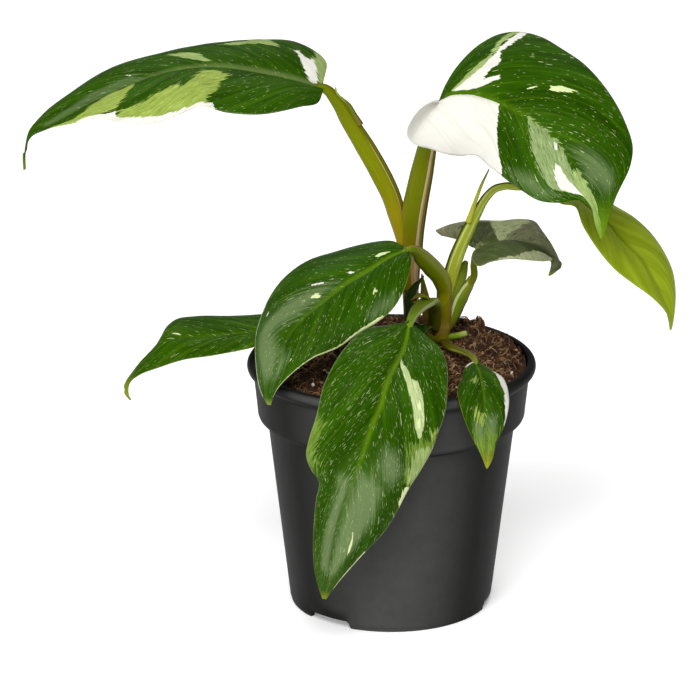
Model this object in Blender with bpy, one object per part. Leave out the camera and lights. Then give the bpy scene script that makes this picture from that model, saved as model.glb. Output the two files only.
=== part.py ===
"""Potted philodendron: two short shoots with nine leaves in a black plastic nursery pot.

Lengths below are millimetres. While the plant is built, the origin is on the pot's axis
at floor level, +X is right, +Y is away from the front and +Z is up. At the end the whole
plant moves so that the origin is under the middle of its outline.
"""

import math

import bmesh
import bpy
import numpy as np

MM = 0.001

# Pot
RIM_RADIUS = 60.0
POT_HEIGHT = 106.0
POT_WALL = 1.0
LIP_HEIGHT = 6.0
COLLAR_TOP_RADIUS = 57.2
COLLAR_BASE_RADIUS = 55.6
COLLAR_BASE_Z = 83.0
BODY_TOP_RADIUS = 51.5
BODY_TOP_Z = 79.5
BASE_RADIUS = 42.0
FOOT_WIDTH = 2.2
FLOOR_Z = 3.5
FLOOR_THICKNESS = 1.4
POT_SIDES = 48
NOTCH_HEIGHT = 3.1
NOTCH_ANGLES = (-39.0, 81.0, 201.0)
NOTCH_HALF_ANGLE = 14.0
DRAIN_HOLES = 5
DRAIN_RADIUS = 4.0
DRAIN_CIRCLE = 24.0

# Soil
SOIL_Z = 103.0
SOIL_LUMP = 0.8
SOIL_RINGS = 9
SOIL_SIDES = 44
GAP = 0.3
ROOT_DEPTH = 24.0

# Leaves and stems
BLADE_THICKNESS = 0.7
MIDRIB_DEPTH = 1.1
CROSS_FRACTIONS = (0.09, 0.36, 0.68, 1.0)
TIP_SHARE = 0.985
LIMB_SIDES = 8
NECK_RUN = 3.0

STEM_TALL_FOOT = (8.5, 28.0)
STEM_TALL_WIDTH = 6.0
STEM_SHORT_FOOT = (21.2, 22.0)
STEM_SHORT_WIDTH = 6.6

# Colours, roughness
FINISHES = {
    "pot_black": ((0.035, 0.036, 0.038), 0.42),
    "coir_brown": ((0.11, 0.055, 0.03), 0.95),
    "leaf_green": ((0.035, 0.13, 0.02), 0.33),
    "leaf_lime": ((0.20, 0.34, 0.045), 0.36),
    "stem_olive": ((0.22, 0.25, 0.035), 0.40),
    "sheath_dark": ((0.03, 0.04, 0.015), 0.45),
}

# Each leaf is lofted across three guides that start at its neck: the midrib, the edge on
# the left hand of someone who walks up it to the tip, and the edge on the right hand.
# fan is the share of each edge that belongs to a lobe behind the neck. vault is how far
# each half rises between midrib and edge, as a share of its width.
LEAVES = {
    "leaf_tall_left": {
        "rib": [(-28, 12, 219), (-49, 6, 226), (-74, 0, 231), (-91, -4, 230), (-108, -8, 225),
                (-125, -11, 217), (-140, -13, 209), (-147, -14, 206), (-149, -14, 200), (-150, -13, 192)],
        "left": [(-28, 10, 218), (-30, 2, 215), (-37, -8, 216), (-55, -20, 216), (-67, -24, 218),
                 (-77, -26, 221), (-84, -28, 219), (-97, -30, 215), (-107, -29, 215), (-120, -26, 216),
                 (-129, -22, 213), (-140, -17, 209), (-146, -15, 205), (-149, -14, 199)],
        "right": [(-28, 14, 220), (-27, 26, 226), (-32, 33, 229), (-40, 36, 232), (-54, 36, 233),
                  (-71, 33, 232), (-93, 27, 229), (-116, 18, 225), (-131, 8, 218), (-143, -4, 211),
                  (-147, -11, 207), (-149, -13, 200)],
        "fan": 0.06, "vault": (0.10, 0.12), "rows": 24, "material": "leaf_green",
    },
    "leaf_tall_right": {
        "rib": [(19, 4.5, 214.5), (21.5, 3.8, 217), (30, 1, 219), (43, -6, 217), (54, -13, 213),
                (65, -21, 206), (73, -29, 197), (80, -35, 186), (83, -38, 176), (84, -38, 167)],
        "left": [(19, 6.2, 215), (21, 10, 219), (27, 17, 227), (37, 23, 235), (44, 25, 238),
                 (52, 25, 239), (60, 22, 238), (70, 15, 234), (78, 8, 230), (86, -1, 223),
                 (94, -12, 211), (97, -19, 202), (96, -25, 197), (89, -35, 184), (86, -38, 175)],
        "right": [(18.4, 2.8, 214.4), (16, -3, 216), (12, -7, 215), (8, -10, 211), (6, -10, 206),
                  (7, -8, 202), (10, -6, 199), (15, -4, 197), (22, -2, 194), (28, -1, 193),
                  (33, -3, 194), (39, -12, 192), (51, -25, 186), (59, -28, 182), (67, -31, 182),
                  (75, -35, 184), (79, -37, 182), (81, -38, 175)],
        "fan": 0.22, "vault": (0.10, 0.14), "rows": 26, "material": "leaf_green",
    },
    "leaf_low_left": {
        "rib": [(7, -5, 155), (0, -8, 153), (-10, -13, 148), (-19, -18, 144), (-29, -25, 138),
                (-38, -32, 132), (-44, -39, 125), (-48, -44, 113), (-50, -47, 100)],
        "left": [(7, -6, 154), (8, -10, 152), (7, -16, 148), (5, -22, 143), (0, -28, 136),
                 (-6, -32, 132), (-13, -36, 129), (-22, -41, 124), (-32, -45, 121), (-40, -48, 116),
                 (-48, -47, 106)],
        "right": [(6, -4, 155), (1, 2, 156), (-7, 8, 154), (-15, 9, 152), (-23, 8, 150),
                  (-35, 4, 147), (-45, -2, 141), (-50, -8, 136), (-54, -15, 129), (-56, -22, 123),
                  (-56, -30, 116), (-53, -43, 104)],
        "fan": 0.05, "vault": (0.12, 0.10), "rows": 20, "material": "leaf_green",
    },
    "leaf_front": {
        "rib": [(7, -28, 130), (4, -42, 123), (0, -53, 119), (-3, -61, 115), (-5, -66, 108),
                (-8, -69, 102), (-12, -71, 90), (-17, -71, 75), (-22, -69, 57), (-28, -62, 21)],
        "left": [(8, -28, 130), (11, -29, 128), (14, -34, 127), (19, -43, 125), (22, -52, 120),
                 (22, -59, 114), (21, -64, 104), (18, -65, 95), (16, -65, 89), (12, -65, 81),
                 (7, -66, 73), (-2, -67, 56), (-14, -65, 41), (-23, -63, 29)],
        "right": [(6, -28, 130), (1, -27, 130), (-2, -29, 130), (-11, -38, 131), (-19, -48, 127),
                  (-24, -56, 122), (-28, -62, 115), (-31, -66, 103), (-34, -66, 93), (-35, -65, 86),
                  (-33, -65, 80), (-30, -67, 76), (-31, -69, 69), (-32, -69, 57), (-31, -64, 32)],
        "fan": 0.06, "vault": (0.10, 0.10), "rows": 24, "material": "leaf_green",
    },
    "leaf_small_front": {
        "rib": [(34, -28, 114), (36, -46, 112), (37, -55, 106), (37, -60, 99), (38, -61, 90), (38, -60, 78)],
        "left": [(35, -28, 114), (37, -29, 113), (41, -34, 112), (45, -40, 111), (47, -47, 107),
                 (47, -53, 103), (45, -57, 96), (42, -60, 90), (40, -60, 82)],
        "right": [(33, -28, 114), (31, -31, 114), (28, -42, 112), (26, -52, 109), (27, -58, 105),
                  (29, -60, 99), (32, -61, 92), (35, -61, 86)],
        "fan": 0.05, "vault": (0.10, 0.10), "rows": 13, "material": "leaf_green",
    },
    "leaf_side_left": {
        "rib": [(-37, 14, 117), (-46, 11, 116), (-57, 8, 115), (-67, 5, 115), (-77, 2, 115),
                (-93, -4, 115), (-99, -6, 111), (-107, -8, 103), (-111, -9, 97), (-108, -6, 88)],
        "left": [(-37, 12, 117), (-40, 5, 115), (-48, -1, 114), (-57, -4, 112), (-74, -9, 110),
                 (-86, -12, 109), (-96, -13, 106), (-104, -13, 103), (-108, -11, 99), (-109, -9, 93)],
        "right": [(-37, 16, 118), (-40, 22, 119), (-45, 25, 118), (-55, 25, 117), (-67, 23, 117),
                  (-82, 19, 118), (-90, 15, 118), (-94, 11, 116), (-97, 3, 110), (-103, -2, 105),
                  (-109, -6, 98), (-111, -8, 94)],
        "fan": 0.05, "vault": (0.10, 0.10), "rows": 18, "material": "leaf_green",
    },
    "leaf_lime_right": {
        "rib": [(64, 8, 176), (75, 7, 172), (86, 5, 166), (95, 4, 156), (105, 2, 146),
                (111, 0, 135), (115, -1, 124), (116, -1, 117)],
        "left": [(65, 10, 177), (68, 14, 177), (76, 20, 175), (86, 24, 169), (94, 25, 164),
                 (101, 24, 160), (108, 22, 154), (114, 18, 146), (117, 13, 140), (117, 1, 121)],
        "right": [(64, 6, 176), (66, 2, 175), (69, -4, 174), (75, -9, 174), (78, -12, 167),
                  (83, -14, 159), (91, -14, 149), (99, -12, 142), (108, -8, 134), (114, -4, 126)],
        "fan": 0.05, "vault": (0.10, 0.10), "rows": 16, "material": "leaf_lime",
    },
    "leaf_back_right": {
        "rib": [(35.5, 29.5, 143.5), (37.5, 30.5, 145.3), (42, 33, 146), (48, 36, 146), (54, 38, 145),
                (61, 39, 143), (67, 38, 140), (71, 36, 136), (69, 33, 133), (66, 31, 131)],
        "left": [(34.8, 31, 143.8), (33, 35, 144.8), (29, 41, 145), (25, 46, 144), (21, 52, 143),
                 (19, 56, 144), (21, 60, 144), (25, 62, 145), (31, 63, 146), (47, 65, 146),
                 (56, 64, 147), (62, 59, 147), (64, 55, 145), (67, 49, 142), (70, 41, 137),
                 (72, 36, 135), (69, 33, 132)],
        "right": [(35.6, 28, 143.4), (34.6, 24, 143.6), (34, 19, 143), (36, 16, 141), (41, 15, 143),
                  (50, 16, 144), (56, 18, 143), (63, 22, 141), (67, 27, 139), (67, 30, 135)],
        "fan": 0.22, "vault": (0.10, 0.14), "rows": 20, "material": "leaf_green",
    },
    "leaf_inner": {
        "rib": [(14, 12, 113), (12, 6, 118), (10, -1, 120), (9, -8, 118), (8, -13, 113)],
        "left": [(15, 12, 113), (17, 7, 117), (16, 0, 119), (13, -7, 118), (9, -12, 114)],
        "right": [(13, 12, 113), (9, 9, 119), (6, 3, 121), (5, -4, 120), (6, -10, 116)],
        "fan": 0.04, "vault": (0.16, 0.16), "rows": 9, "material": "leaf_green",
    },
    "dry_sheath": {
        "rib": [(8, 22.6, 104.7), (7.6, 21.9, 112), (7.9, 21.3, 119), (7.8, 20.6, 125.5),
                (10.2, 20.2, 131), (13.9, 20, 135.4)],
        "left": [(6.4, 22.8, 104.7), (5.9, 22.4, 112), (5.9, 22, 119), (5.4, 21.2, 125.5),
                 (8.4, 20.4, 130.8)],
        "right": [(9.4, 22.8, 104.7), (9.3, 22.2, 112), (9.7, 21.5, 119), (9.9, 20.6, 125),
                  (11.6, 20, 130.2)],
        "fan": 0.0, "vault": (0.15, 0.15), "rows": 9, "material": "sheath_dark",
    },
}

# Each limb is a tube along a smooth path, with (width, depth) at even steps along it. The
# width lies square to the path and to the limb's facing direction. A stalk that names a
# leaf runs on to that leaf's neck.
FRONT = (0.0, -1.0, 0.0)
ABOVE = (0.0, 0.0, 1.0)
TALL_SHOOT = [
    ("stem_tall", [(8.5, 28, 80), (8.5, 28, 103), (8.5, 28, 118), (8, 27, 131)],
     [(6, 6), (6, 6), (6.4, 6.2), (7.2, 7)], FRONT, None),
    ("petiole_right",
     [(8, 27, 127), (7.5, 26.5, 138), (8, 25, 150), (9.5, 22, 163), (12, 18, 178),
      (14.5, 13, 193), (16.6, 8.5, 206)],
     [(7.5, 7), (11, 8), (10.5, 7.5), (9.6, 6.4), (7.4, 5), (3.4, 2.8)], FRONT, "leaf_tall_right"),
    ("petiole_left",
     [(5, 25, 146), (2, 23.5, 157), (-2, 22, 168), (-7.5, 20, 180), (-13, 18, 193),
      (-18, 16, 203), (-22.5, 14, 212)],
     [(4, 5), (7.6, 6), (8.2, 5.6), (7.6, 5), (6, 4.4), (3.4, 2.4)], FRONT, "leaf_tall_left"),
    ("spike_left", [(-13.5, 15.5, 199), (-17, 13.8, 209), (-20, 13, 214), (-23, 12, 219)],
     [(3.4, 1.6), (1.8, 1.2), (0.7, 0.7)], FRONT, None),
    ("petiole_side", [(7.5, 27, 108.6), (0, 24.5, 108.6), (-14, 21, 113), (-28, 16.5, 117.4)],
     [(4.4, 4), (3.8, 3.4), (3.2, 2.8), (2.6, 2)], ABOVE, "leaf_side_left"),
]
SHORT_SHOOT = [
    ("stem_short",
     [(21.2, 22, 80), (21.2, 22, 103), (21.7, 22, 112), (22.2, 22, 121), (22.2, 22, 130)],
     [(6.6, 6.2), (6.6, 6.2), (6.6, 6.2), (6.4, 6)], FRONT, None),
    ("petiole_low_left",
     [(22, 21.6, 121), (22.3, 21, 128.5), (20.6, 18, 134.7), (16.9, 12.5, 141), (12.7, 5, 147.8),
      (9.7, -1, 152.6)],
     [(5, 5), (7, 6.4), (6.8, 5.6), (6, 4.8), (3, 2.4)], FRONT, "leaf_low_left"),
    ("petiole_front",
     [(18.8, 20.5, 112), (18, 17, 121.5), (16.4, 9, 127.7), (13.5, -2, 129.8), (10.2, -14, 131)],
     [(4, 5), (6.4, 4.2), (6, 3.4), (4.8, 3), (2.8, 2.2)], ABOVE, "leaf_front"),
    ("petiole_small",
     [(21.8, 21, 106.2), (23.5, 12, 107), (26.5, 2, 108.8), (31, -12, 111.6)],
     [(3.6, 3.2), (4.6, 3), (4, 2.6), (2.4, 2)], ABOVE, "leaf_small_front"),
    ("petiole_lime",
     [(22.2, 23, 118), (23.8, 24, 129), (26.5, 25, 141), (31, 26.5, 156), (36, 27.5, 168),
      (39.5, 27.5, 177), (44, 25, 181), (52, 18, 181), (58, 12.5, 179)],
     [(4, 5), (6.2, 5.4), (6.2, 5), (5.4, 4.4), (3.8, 3.6), (3.2, 3.2), (3.2, 3), (2.6, 2.2)],
     FRONT, "leaf_lime_right"),
    ("spike_lime", [(31.5, 24.4, 160), (34.5, 25, 170), (37, 25.5, 178), (39.5, 26, 186)],
     [(2.8, 1.8), (2, 1.3), (1.2, 1), (0.6, 0.6)], FRONT, None),
    ("bud_sheath",
     [(22.8, 23, 110), (26.2, 24, 116.3), (28.4, 25.5, 122), (30.8, 27, 126.5), (33, 28, 129.5),
      (34, 28.3, 132.2)],
     [(4, 4.4), (5, 5), (6, 5.6), (6.6, 6), (5.4, 5), (2.6, 2.6)], FRONT, None),
    ("sheath_back", [(23.5, 24, 122), (26.4, 25.6, 129), (29.3, 26.6, 134.3), (31.6, 27.4, 139.5)],
     [(4, 4), (5, 4), (4, 3), (1.4, 1.2)], FRONT, None),
    ("petiole_back", [(31.5, 27, 127), (34.8, 28.2, 132.3), (34.7, 28.6, 137.8)],
     [(3.4, 3.4), (3, 3), (2.4, 2.2)], FRONT, "leaf_back_right"),
    ("petiole_inner", [(19.5, 20, 106.5), (17.4, 16.8, 108.5)],
     [(3.2, 3.2), (2.8, 2.8), (2.2, 1.8)], FRONT, "leaf_inner"),
    ("cut_stub", [(22.6, 21.5, 107.5), (27, 21, 108.3), (32, 21, 109.6)],
     [(2.6, 2.4), (2.8, 2.4), (2.6, 2.2)], FRONT, None),
]


def clear_scene():
    """Remove every object of the start-up scene."""
    for item in list(bpy.data.objects):
        bpy.data.objects.remove(item, do_unlink=True)


def finish_material(name):
    """Return the Principled material of that name, made on first use."""
    if name in bpy.data.materials:
        return bpy.data.materials[name]
    colour, roughness = FINISHES[name]
    material = bpy.data.materials.new(name)
    material.use_nodes = True
    shader = material.node_tree.nodes["Principled BSDF"]
    shader.inputs["Base Color"].default_value = (*colour, 1.0)
    shader.inputs["Roughness"].default_value = roughness
    shader.inputs["Metallic"].default_value = 0.0
    material.diffuse_color = (*colour, 1.0)
    return material


def solid(name, points, faces, material=None):
    """Make one smooth-shaded object from points in millimetres."""
    mesh = bpy.data.meshes.new(name)
    mesh.from_pydata((np.asarray(points, float) * MM).tolist(), [], [tuple(map(int, f)) for f in faces])
    mesh.shade_smooth()
    mesh.set_sharp_from_angle(angle=math.radians(40.0))
    item = bpy.data.objects.new(name, mesh)
    bpy.context.scene.collection.objects.link(item)
    if material:
        mesh.materials.append(finish_material(material))
    return item


def smooth_line(points, shares):
    """Read a smooth curve through the points at shares of its own length."""
    points = np.asarray(points, float)
    gaps = np.linalg.norm(np.diff(points, axis=0), axis=1)
    knots = np.concatenate([[0.0], np.cumsum(gaps)])
    slopes = np.gradient(points, knots, axis=0)
    dense = np.linspace(0.0, knots[-1], 40 * len(points))
    span = np.clip(np.searchsorted(knots, dense, side="right") - 1, 0, len(gaps) - 1)
    gap = gaps[span][:, None]
    u = (dense - knots[span])[:, None] / gap
    line = (
        (2 * u**3 - 3 * u**2 + 1) * points[span]
        + (u**3 - 2 * u**2 + u) * gap * slopes[span]
        + (3 * u**2 - 2 * u**3) * points[span + 1]
        + (u**3 - u**2) * gap * slopes[span + 1]
    )
    run = np.concatenate([[0.0], np.cumsum(np.linalg.norm(np.diff(line, axis=0), axis=1))])
    wanted = np.asarray(shares) * run[-1]
    return np.column_stack([np.interp(wanted, run, line[:, k]) for k in range(3)])


def unit(vectors):
    """Scale each vector to length one."""
    return vectors / np.maximum(np.linalg.norm(vectors, axis=-1, keepdims=True), 1e-9)


def blade_grid(leaf):
    """Loft the upper face: rows run from the midrib to both edges, columns from neck to tip."""
    edge_shares = np.linspace(0.0, TIP_SHARE, leaf["rows"] + 1)
    fan = leaf["fan"]
    in_lobe = 0.15 * edge_shares
    past_lobe = 0.15 * fan + (edge_shares - fan) * (1 - 0.15 * fan) / (1 - fan)
    rib_shares = np.where(edge_shares < fan, in_lobe, past_lobe)
    rib = smooth_line(leaf["rib"], rib_shares)
    ahead = unit(smooth_line(leaf["rib"], np.minimum(rib_shares + 0.01, 1.0))
                 - smooth_line(leaf["rib"], np.maximum(rib_shares - 0.01, 0.0)))
    across = np.array((0.0,) + CROSS_FRACTIONS)
    halves = []
    for side, sign, vault in (("left", 1, leaf["vault"][0]), ("right", -1, leaf["vault"][1])):
        edge = smooth_line([*leaf[side], leaf["rib"][-1]], edge_shares)
        reach = edge - rib
        width = np.linalg.norm(reach, axis=1)
        upward = unit(sign * np.cross(ahead, reach))
        dome = 4 * vault * across * (1 - across)
        halves.append(rib[:, None] + across[None, :, None] * reach[:, None]
                      + (width[:, None] * dome[None, :])[..., None] * upward[:, None])
    return np.concatenate([halves[0][:, ::-1], halves[1][:, 1:]], axis=1)


def blade(name, leaf):
    """Close a leaf: the upper face, the same grid moved under it, and a strip round the edge."""
    top = blade_grid(leaf)
    rows, columns = top.shape[:2]
    upward = unit(np.cross(np.gradient(top, axis=0), -np.gradient(top, axis=1)))
    depth = np.full((rows, columns), BLADE_THICKNESS)
    depth[:, columns // 2] += MIDRIB_DEPTH * (1 - np.linspace(0.0, 1.0, rows)) ** 0.7
    under = top - depth[..., None] * upward
    index = np.arange(rows * columns).reshape(rows, columns)
    a, b, c, d = (g.ravel() for g in (index[:-1, :-1], index[1:, :-1], index[1:, 1:], index[:-1, 1:]))
    drop = rows * columns
    faces = np.concatenate([
        np.column_stack([c, b, a]),
        np.column_stack([d, c, a]),
        np.column_stack([a, b, c]) + drop,
        np.column_stack([a, c, d]) + drop,
    ])
    ring = np.concatenate([index[:-1, 0], index[-1, :-1], index[:0:-1, -1], index[0, :0:-1]])
    after = np.roll(ring, -1)
    strip = np.concatenate([
        np.column_stack([ring, after, after + drop]),
        np.column_stack([ring, after + drop, ring + drop]),
    ])
    points = np.concatenate([top.reshape(-1, 3), under.reshape(-1, 3)])
    return solid(name, points, np.concatenate([faces, strip]), leaf["material"])


def neck_run(leaf):
    """Return the last two points of a stalk, which ends square to its leaf's neck, a gap away."""
    start = np.asarray(leaf["rib"][0], float)
    row = np.subtract(leaf["left"][0], leaf["right"][0]).astype(float)
    upward = unit(np.cross(np.subtract(leaf["rib"][1], start), row))
    ahead = unit(np.cross(row, upward))
    end = start - GAP * ahead - 0.5 * (BLADE_THICKNESS + MIDRIB_DEPTH) * upward
    return [end - NECK_RUN * ahead, end]


def limb(name, path, sizes, facing, leaf_name):
    """Make a closed oval tube along a smooth path."""
    if leaf_name:
        path = path + neck_run(LEAVES[leaf_name])
    steps = max(6, 2 * len(path))
    shares = np.linspace(0.0, 1.0, steps)
    centre = smooth_line(path, shares)
    ahead = unit(smooth_line(path, np.minimum(shares + 0.01, 1.0))
                 - smooth_line(path, np.maximum(shares - 0.01, 0.0)))
    side = unit(np.cross(ahead, np.asarray(facing)))
    front = unit(np.cross(side, ahead))
    size_shares = np.linspace(0.0, 1.0, len(sizes))
    width = np.interp(shares, size_shares, [s[0] for s in sizes])[:, None, None]
    depth = np.interp(shares, size_shares, [s[1] for s in sizes])[:, None, None]
    turn = np.linspace(0.0, 2 * math.pi, LIMB_SIDES, endpoint=False)[None, :, None]
    offset = width * np.cos(turn) * side[:, None] + depth * np.sin(turn) * front[:, None]
    points = centre[:, None] + 0.5 * offset
    index = np.arange(steps * LIMB_SIDES).reshape(steps, LIMB_SIDES)
    beside = np.roll(index, -1, axis=1)
    walls = np.stack([index[:-1], index[1:], beside[1:], beside[:-1]], axis=-1).reshape(-1, 4)
    faces = [tuple(w) for w in walls] + [tuple(index[0]), tuple(index[-1][::-1])]
    item = solid(name, points.reshape(-1, 3), faces)
    outward(item)
    return item


def outward(item):
    """Turn an object's faces outwards."""
    shape = bmesh.new()
    shape.from_mesh(item.data)
    bmesh.ops.recalc_face_normals(shape, faces=shape.faces)
    shape.to_mesh(item.data)
    shape.free()


def apply_boolean(item, others, operation):
    """Join other objects to one, or cut them from it, and remove them."""
    group = bpy.data.collections.new(item.name + "_others")
    bpy.context.scene.collection.children.link(group)
    for other in others:
        bpy.context.scene.collection.objects.unlink(other)
        group.objects.link(other)
    step = item.modifiers.new(operation.lower(), "BOOLEAN")
    step.operation = operation
    step.operand_type = "COLLECTION"
    step.collection = group
    step.solver = "EXACT"
    bpy.context.view_layer.update()
    evaluated = item.evaluated_get(bpy.context.evaluated_depsgraph_get())
    result = bpy.data.meshes.new_from_object(evaluated)
    item.modifiers.clear()
    item.data = result
    for other in others:
        bpy.data.objects.remove(other, do_unlink=True)
    bpy.data.collections.remove(group)
    result.shade_smooth()
    result.set_sharp_from_angle(angle=math.radians(40.0))


def shoot(name, limbs):
    """Grow one shoot: its stem, petioles and sheaths in one body."""
    parts = [limb(*entry) for entry in limbs]
    first = parts[0]
    first.name = name
    first.data.materials.append(finish_material("stem_olive"))
    apply_boolean(first, parts[1:], "UNION")
    return first


def pot_profile():
    """List the wall's section as (radius, height), from the axis under the floor round to above it."""
    top = POT_HEIGHT
    neck = top - LIP_HEIGHT
    foot_inner = BASE_RADIUS - FOOT_WIDTH
    outside = [
        (0.0, FLOOR_Z), (foot_inner - 1.0, FLOOR_Z), (foot_inner, FLOOR_Z - 1.0), (foot_inner, 0.0),
        (BASE_RADIUS - 0.4, 0.0), (BASE_RADIUS, 0.5), (BASE_RADIUS + 0.4, 2.2),
        (BODY_TOP_RADIUS, BODY_TOP_Z), (BODY_TOP_RADIUS + 0.6, BODY_TOP_Z + 1.2),
        (COLLAR_BASE_RADIUS - 1.0, COLLAR_BASE_Z - 1.4), (COLLAR_BASE_RADIUS, COLLAR_BASE_Z),
        (COLLAR_TOP_RADIUS, neck - 0.8), (COLLAR_TOP_RADIUS + 0.5, neck), (RIM_RADIUS - 0.4, neck + 1.2),
        (RIM_RADIUS, neck + 3.2), (RIM_RADIUS - 0.3, top - 0.9), (RIM_RADIUS - 1.2, top),
    ]
    inside = [
        (RIM_RADIUS - 2.0, top - 0.5), (COLLAR_TOP_RADIUS - POT_WALL, neck - 0.8),
        (COLLAR_BASE_RADIUS - POT_WALL, COLLAR_BASE_Z + 0.6),
        (BODY_TOP_RADIUS - POT_WALL, BODY_TOP_Z + 0.8),
        (BASE_RADIUS + 0.4 - POT_WALL, FLOOR_Z + FLOOR_THICKNESS), (0.0, FLOOR_Z + FLOOR_THICKNESS),
    ]
    return outside, inside


def turned(name, profile, sides, material):
    """Turn a section that starts and ends on the axis into a closed round body."""
    profile = np.asarray(profile, float)
    rings = profile[1:-1]
    turn = np.linspace(0.0, 2 * math.pi, sides, endpoint=False)
    x = rings[:, :1] * np.cos(turn)[None]
    y = rings[:, :1] * np.sin(turn)[None]
    z = np.repeat(rings[:, 1:], sides, axis=1)
    points = np.stack([x, y, z], axis=-1).reshape(-1, 3)
    points = np.concatenate([points, [[0.0, 0.0, profile[0, 1]], [0.0, 0.0, profile[-1, 1]]]])
    index = np.arange(len(rings) * sides).reshape(len(rings), sides)
    beside = np.roll(index, -1, axis=1)
    walls = np.stack([index[:-1], index[1:], beside[1:], beside[:-1]], axis=-1).reshape(-1, 4).tolist()
    start, end = len(points) - 2, len(points) - 1
    caps = [(start, index[0, k], beside[0, k]) for k in range(sides)]
    caps += [(end, beside[-1, k], index[-1, k]) for k in range(sides)]
    item = solid(name, points, walls + caps, material)
    outward(item)
    return item


def cutter_cylinder(name, x, y, low, high, radius, sides=24):
    """Make an upright cylinder that cuts a hole."""
    section = [(0.0, low), (radius, low), (radius, high), (0.0, high)]
    item = turned(name, section, sides, None)
    for vertex in item.data.vertices:
        vertex.co.x += x * MM
        vertex.co.y += y * MM
    return item


def notch_cutter(number, angle):
    """Make the block that cuts one gap out of the foot ring."""
    half = BASE_RADIUS * math.sin(math.radians(NOTCH_HALF_ANGLE))
    turn = math.radians(angle)
    outward_way = np.array([math.sin(turn), -math.cos(turn), 0.0])
    sideways = np.array([math.cos(turn), math.sin(turn), 0.0])
    inner = BASE_RADIUS * math.cos(math.radians(NOTCH_HALF_ANGLE)) - FOOT_WIDTH - 2.0
    points = []
    for height, spread in ((-1.0, half), (NOTCH_HEIGHT, half - 1.0)):
        outer = BASE_RADIUS + 3.0
        for reach, side in ((inner, -spread), (outer, -spread), (outer, spread), (inner, spread)):
            points.append(outward_way * reach + sideways * side + np.array([0.0, 0.0, height]))
    faces = [(0, 1, 2, 3), (4, 5, 6, 7), (0, 1, 5, 4), (1, 2, 6, 5), (2, 3, 7, 6), (3, 0, 4, 7)]
    item = solid(f"notch_{number}", points, faces)
    outward(item)
    return item


def make_pot():
    """Turn the pot, cut the gaps in its foot and drill the drain holes."""
    outside, inside = pot_profile()
    pot = turned("pot", outside + inside, POT_SIDES, "pot_black")
    cutters = [notch_cutter(k, angle) for k, angle in enumerate(NOTCH_ANGLES)]
    for k in range(DRAIN_HOLES):
        turn = 2 * math.pi * (k + 0.25) / DRAIN_HOLES
        cutters.append(cutter_cylinder(
            f"drain_{k}", DRAIN_CIRCLE * math.cos(turn), DRAIN_CIRCLE * math.sin(turn),
            FLOOR_Z - 2.0, FLOOR_Z + FLOOR_THICKNESS + 2.0, DRAIN_RADIUS, 16))
    apply_boolean(pot, cutters, "DIFFERENCE")
    return pot


def soil_height(x, y):
    """Return the lumpy soil surface's height at x, y."""
    lumps = (
        np.sin(0.31 * x + 0.17 * y + 0.6) * np.cos(0.23 * y - 0.11 * x)
        + 0.6 * np.sin(0.57 * x - 0.41 * y + 2.0)
        + 0.4 * np.cos(0.83 * y + 0.49 * x + 1.1)
    )
    return SOIL_Z + SOIL_LUMP * lumps


def make_soil():
    """Fill the pot with a plug of soil that has a lumpy top and a plain hole for each stem."""
    floor = FLOOR_Z + FLOOR_THICKNESS + GAP
    inner = POT_WALL + GAP
    section = [
        (0.0, floor), (BASE_RADIUS + 0.4 - inner, floor + 0.2),
        (BODY_TOP_RADIUS - inner - 0.15, BODY_TOP_Z + 1.0),
        (COLLAR_BASE_RADIUS - inner - 0.2, COLLAR_BASE_Z + 1.4),
    ]
    rim = COLLAR_TOP_RADIUS - inner - 0.25
    rings = [(rim * (k / SOIL_RINGS) ** 0.8, SOIL_Z) for k in range(SOIL_RINGS, -1, -1)]
    soil = turned("soil", section + rings, SOIL_SIDES, "coir_brown")
    for vertex in soil.data.vertices:
        if vertex.co.z > (SOIL_Z - 1.0) * MM:
            vertex.co.z = float(soil_height(vertex.co.x / MM, vertex.co.y / MM)) * MM
    depth = SOIL_Z - ROOT_DEPTH
    cutters = [
        cutter_cylinder("hole_tall", *STEM_TALL_FOOT, depth, SOIL_Z + 8.0, STEM_TALL_WIDTH / 2 + 0.5),
        cutter_cylinder("hole_short", *STEM_SHORT_FOOT, depth, SOIL_Z + 8.0, STEM_SHORT_WIDTH / 2 + 0.5),
    ]
    apply_boolean(soil, cutters, "DIFFERENCE")
    return soil


def centre_under_outline(items):
    """Move every mesh so that the origin is under the middle of the whole outline."""
    corners = np.concatenate([[v.co[:] for v in item.data.vertices] for item in items])
    low, high = corners.min(axis=0), corners.max(axis=0)
    shift = -np.array([(low[0] + high[0]) / 2, (low[1] + high[1]) / 2, low[2]])
    for item in items:
        for vertex in item.data.vertices:
            vertex.co = np.asarray(vertex.co) + shift


def main():
    """Build the potted plant."""
    clear_scene()
    items = [make_pot(), make_soil(), shoot("shoot_tall", TALL_SHOOT), shoot("shoot_short", SHORT_SHOOT)]
    items += [blade(name, leaf) for name, leaf in LEAVES.items()]
    centre_under_outline(items)


main()
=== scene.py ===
"""Visual model of a variegated philodendron in a black nursery pot.

Every shape is worked out in millimetres about the pot's axis at floor level (+X right,
+Y away from the front, +Z up) and then carried to the frame's own origin in metres.
"""

import logging
from dataclasses import dataclass, field
from enum import Enum
from math import cos, pi, radians, sin

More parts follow.
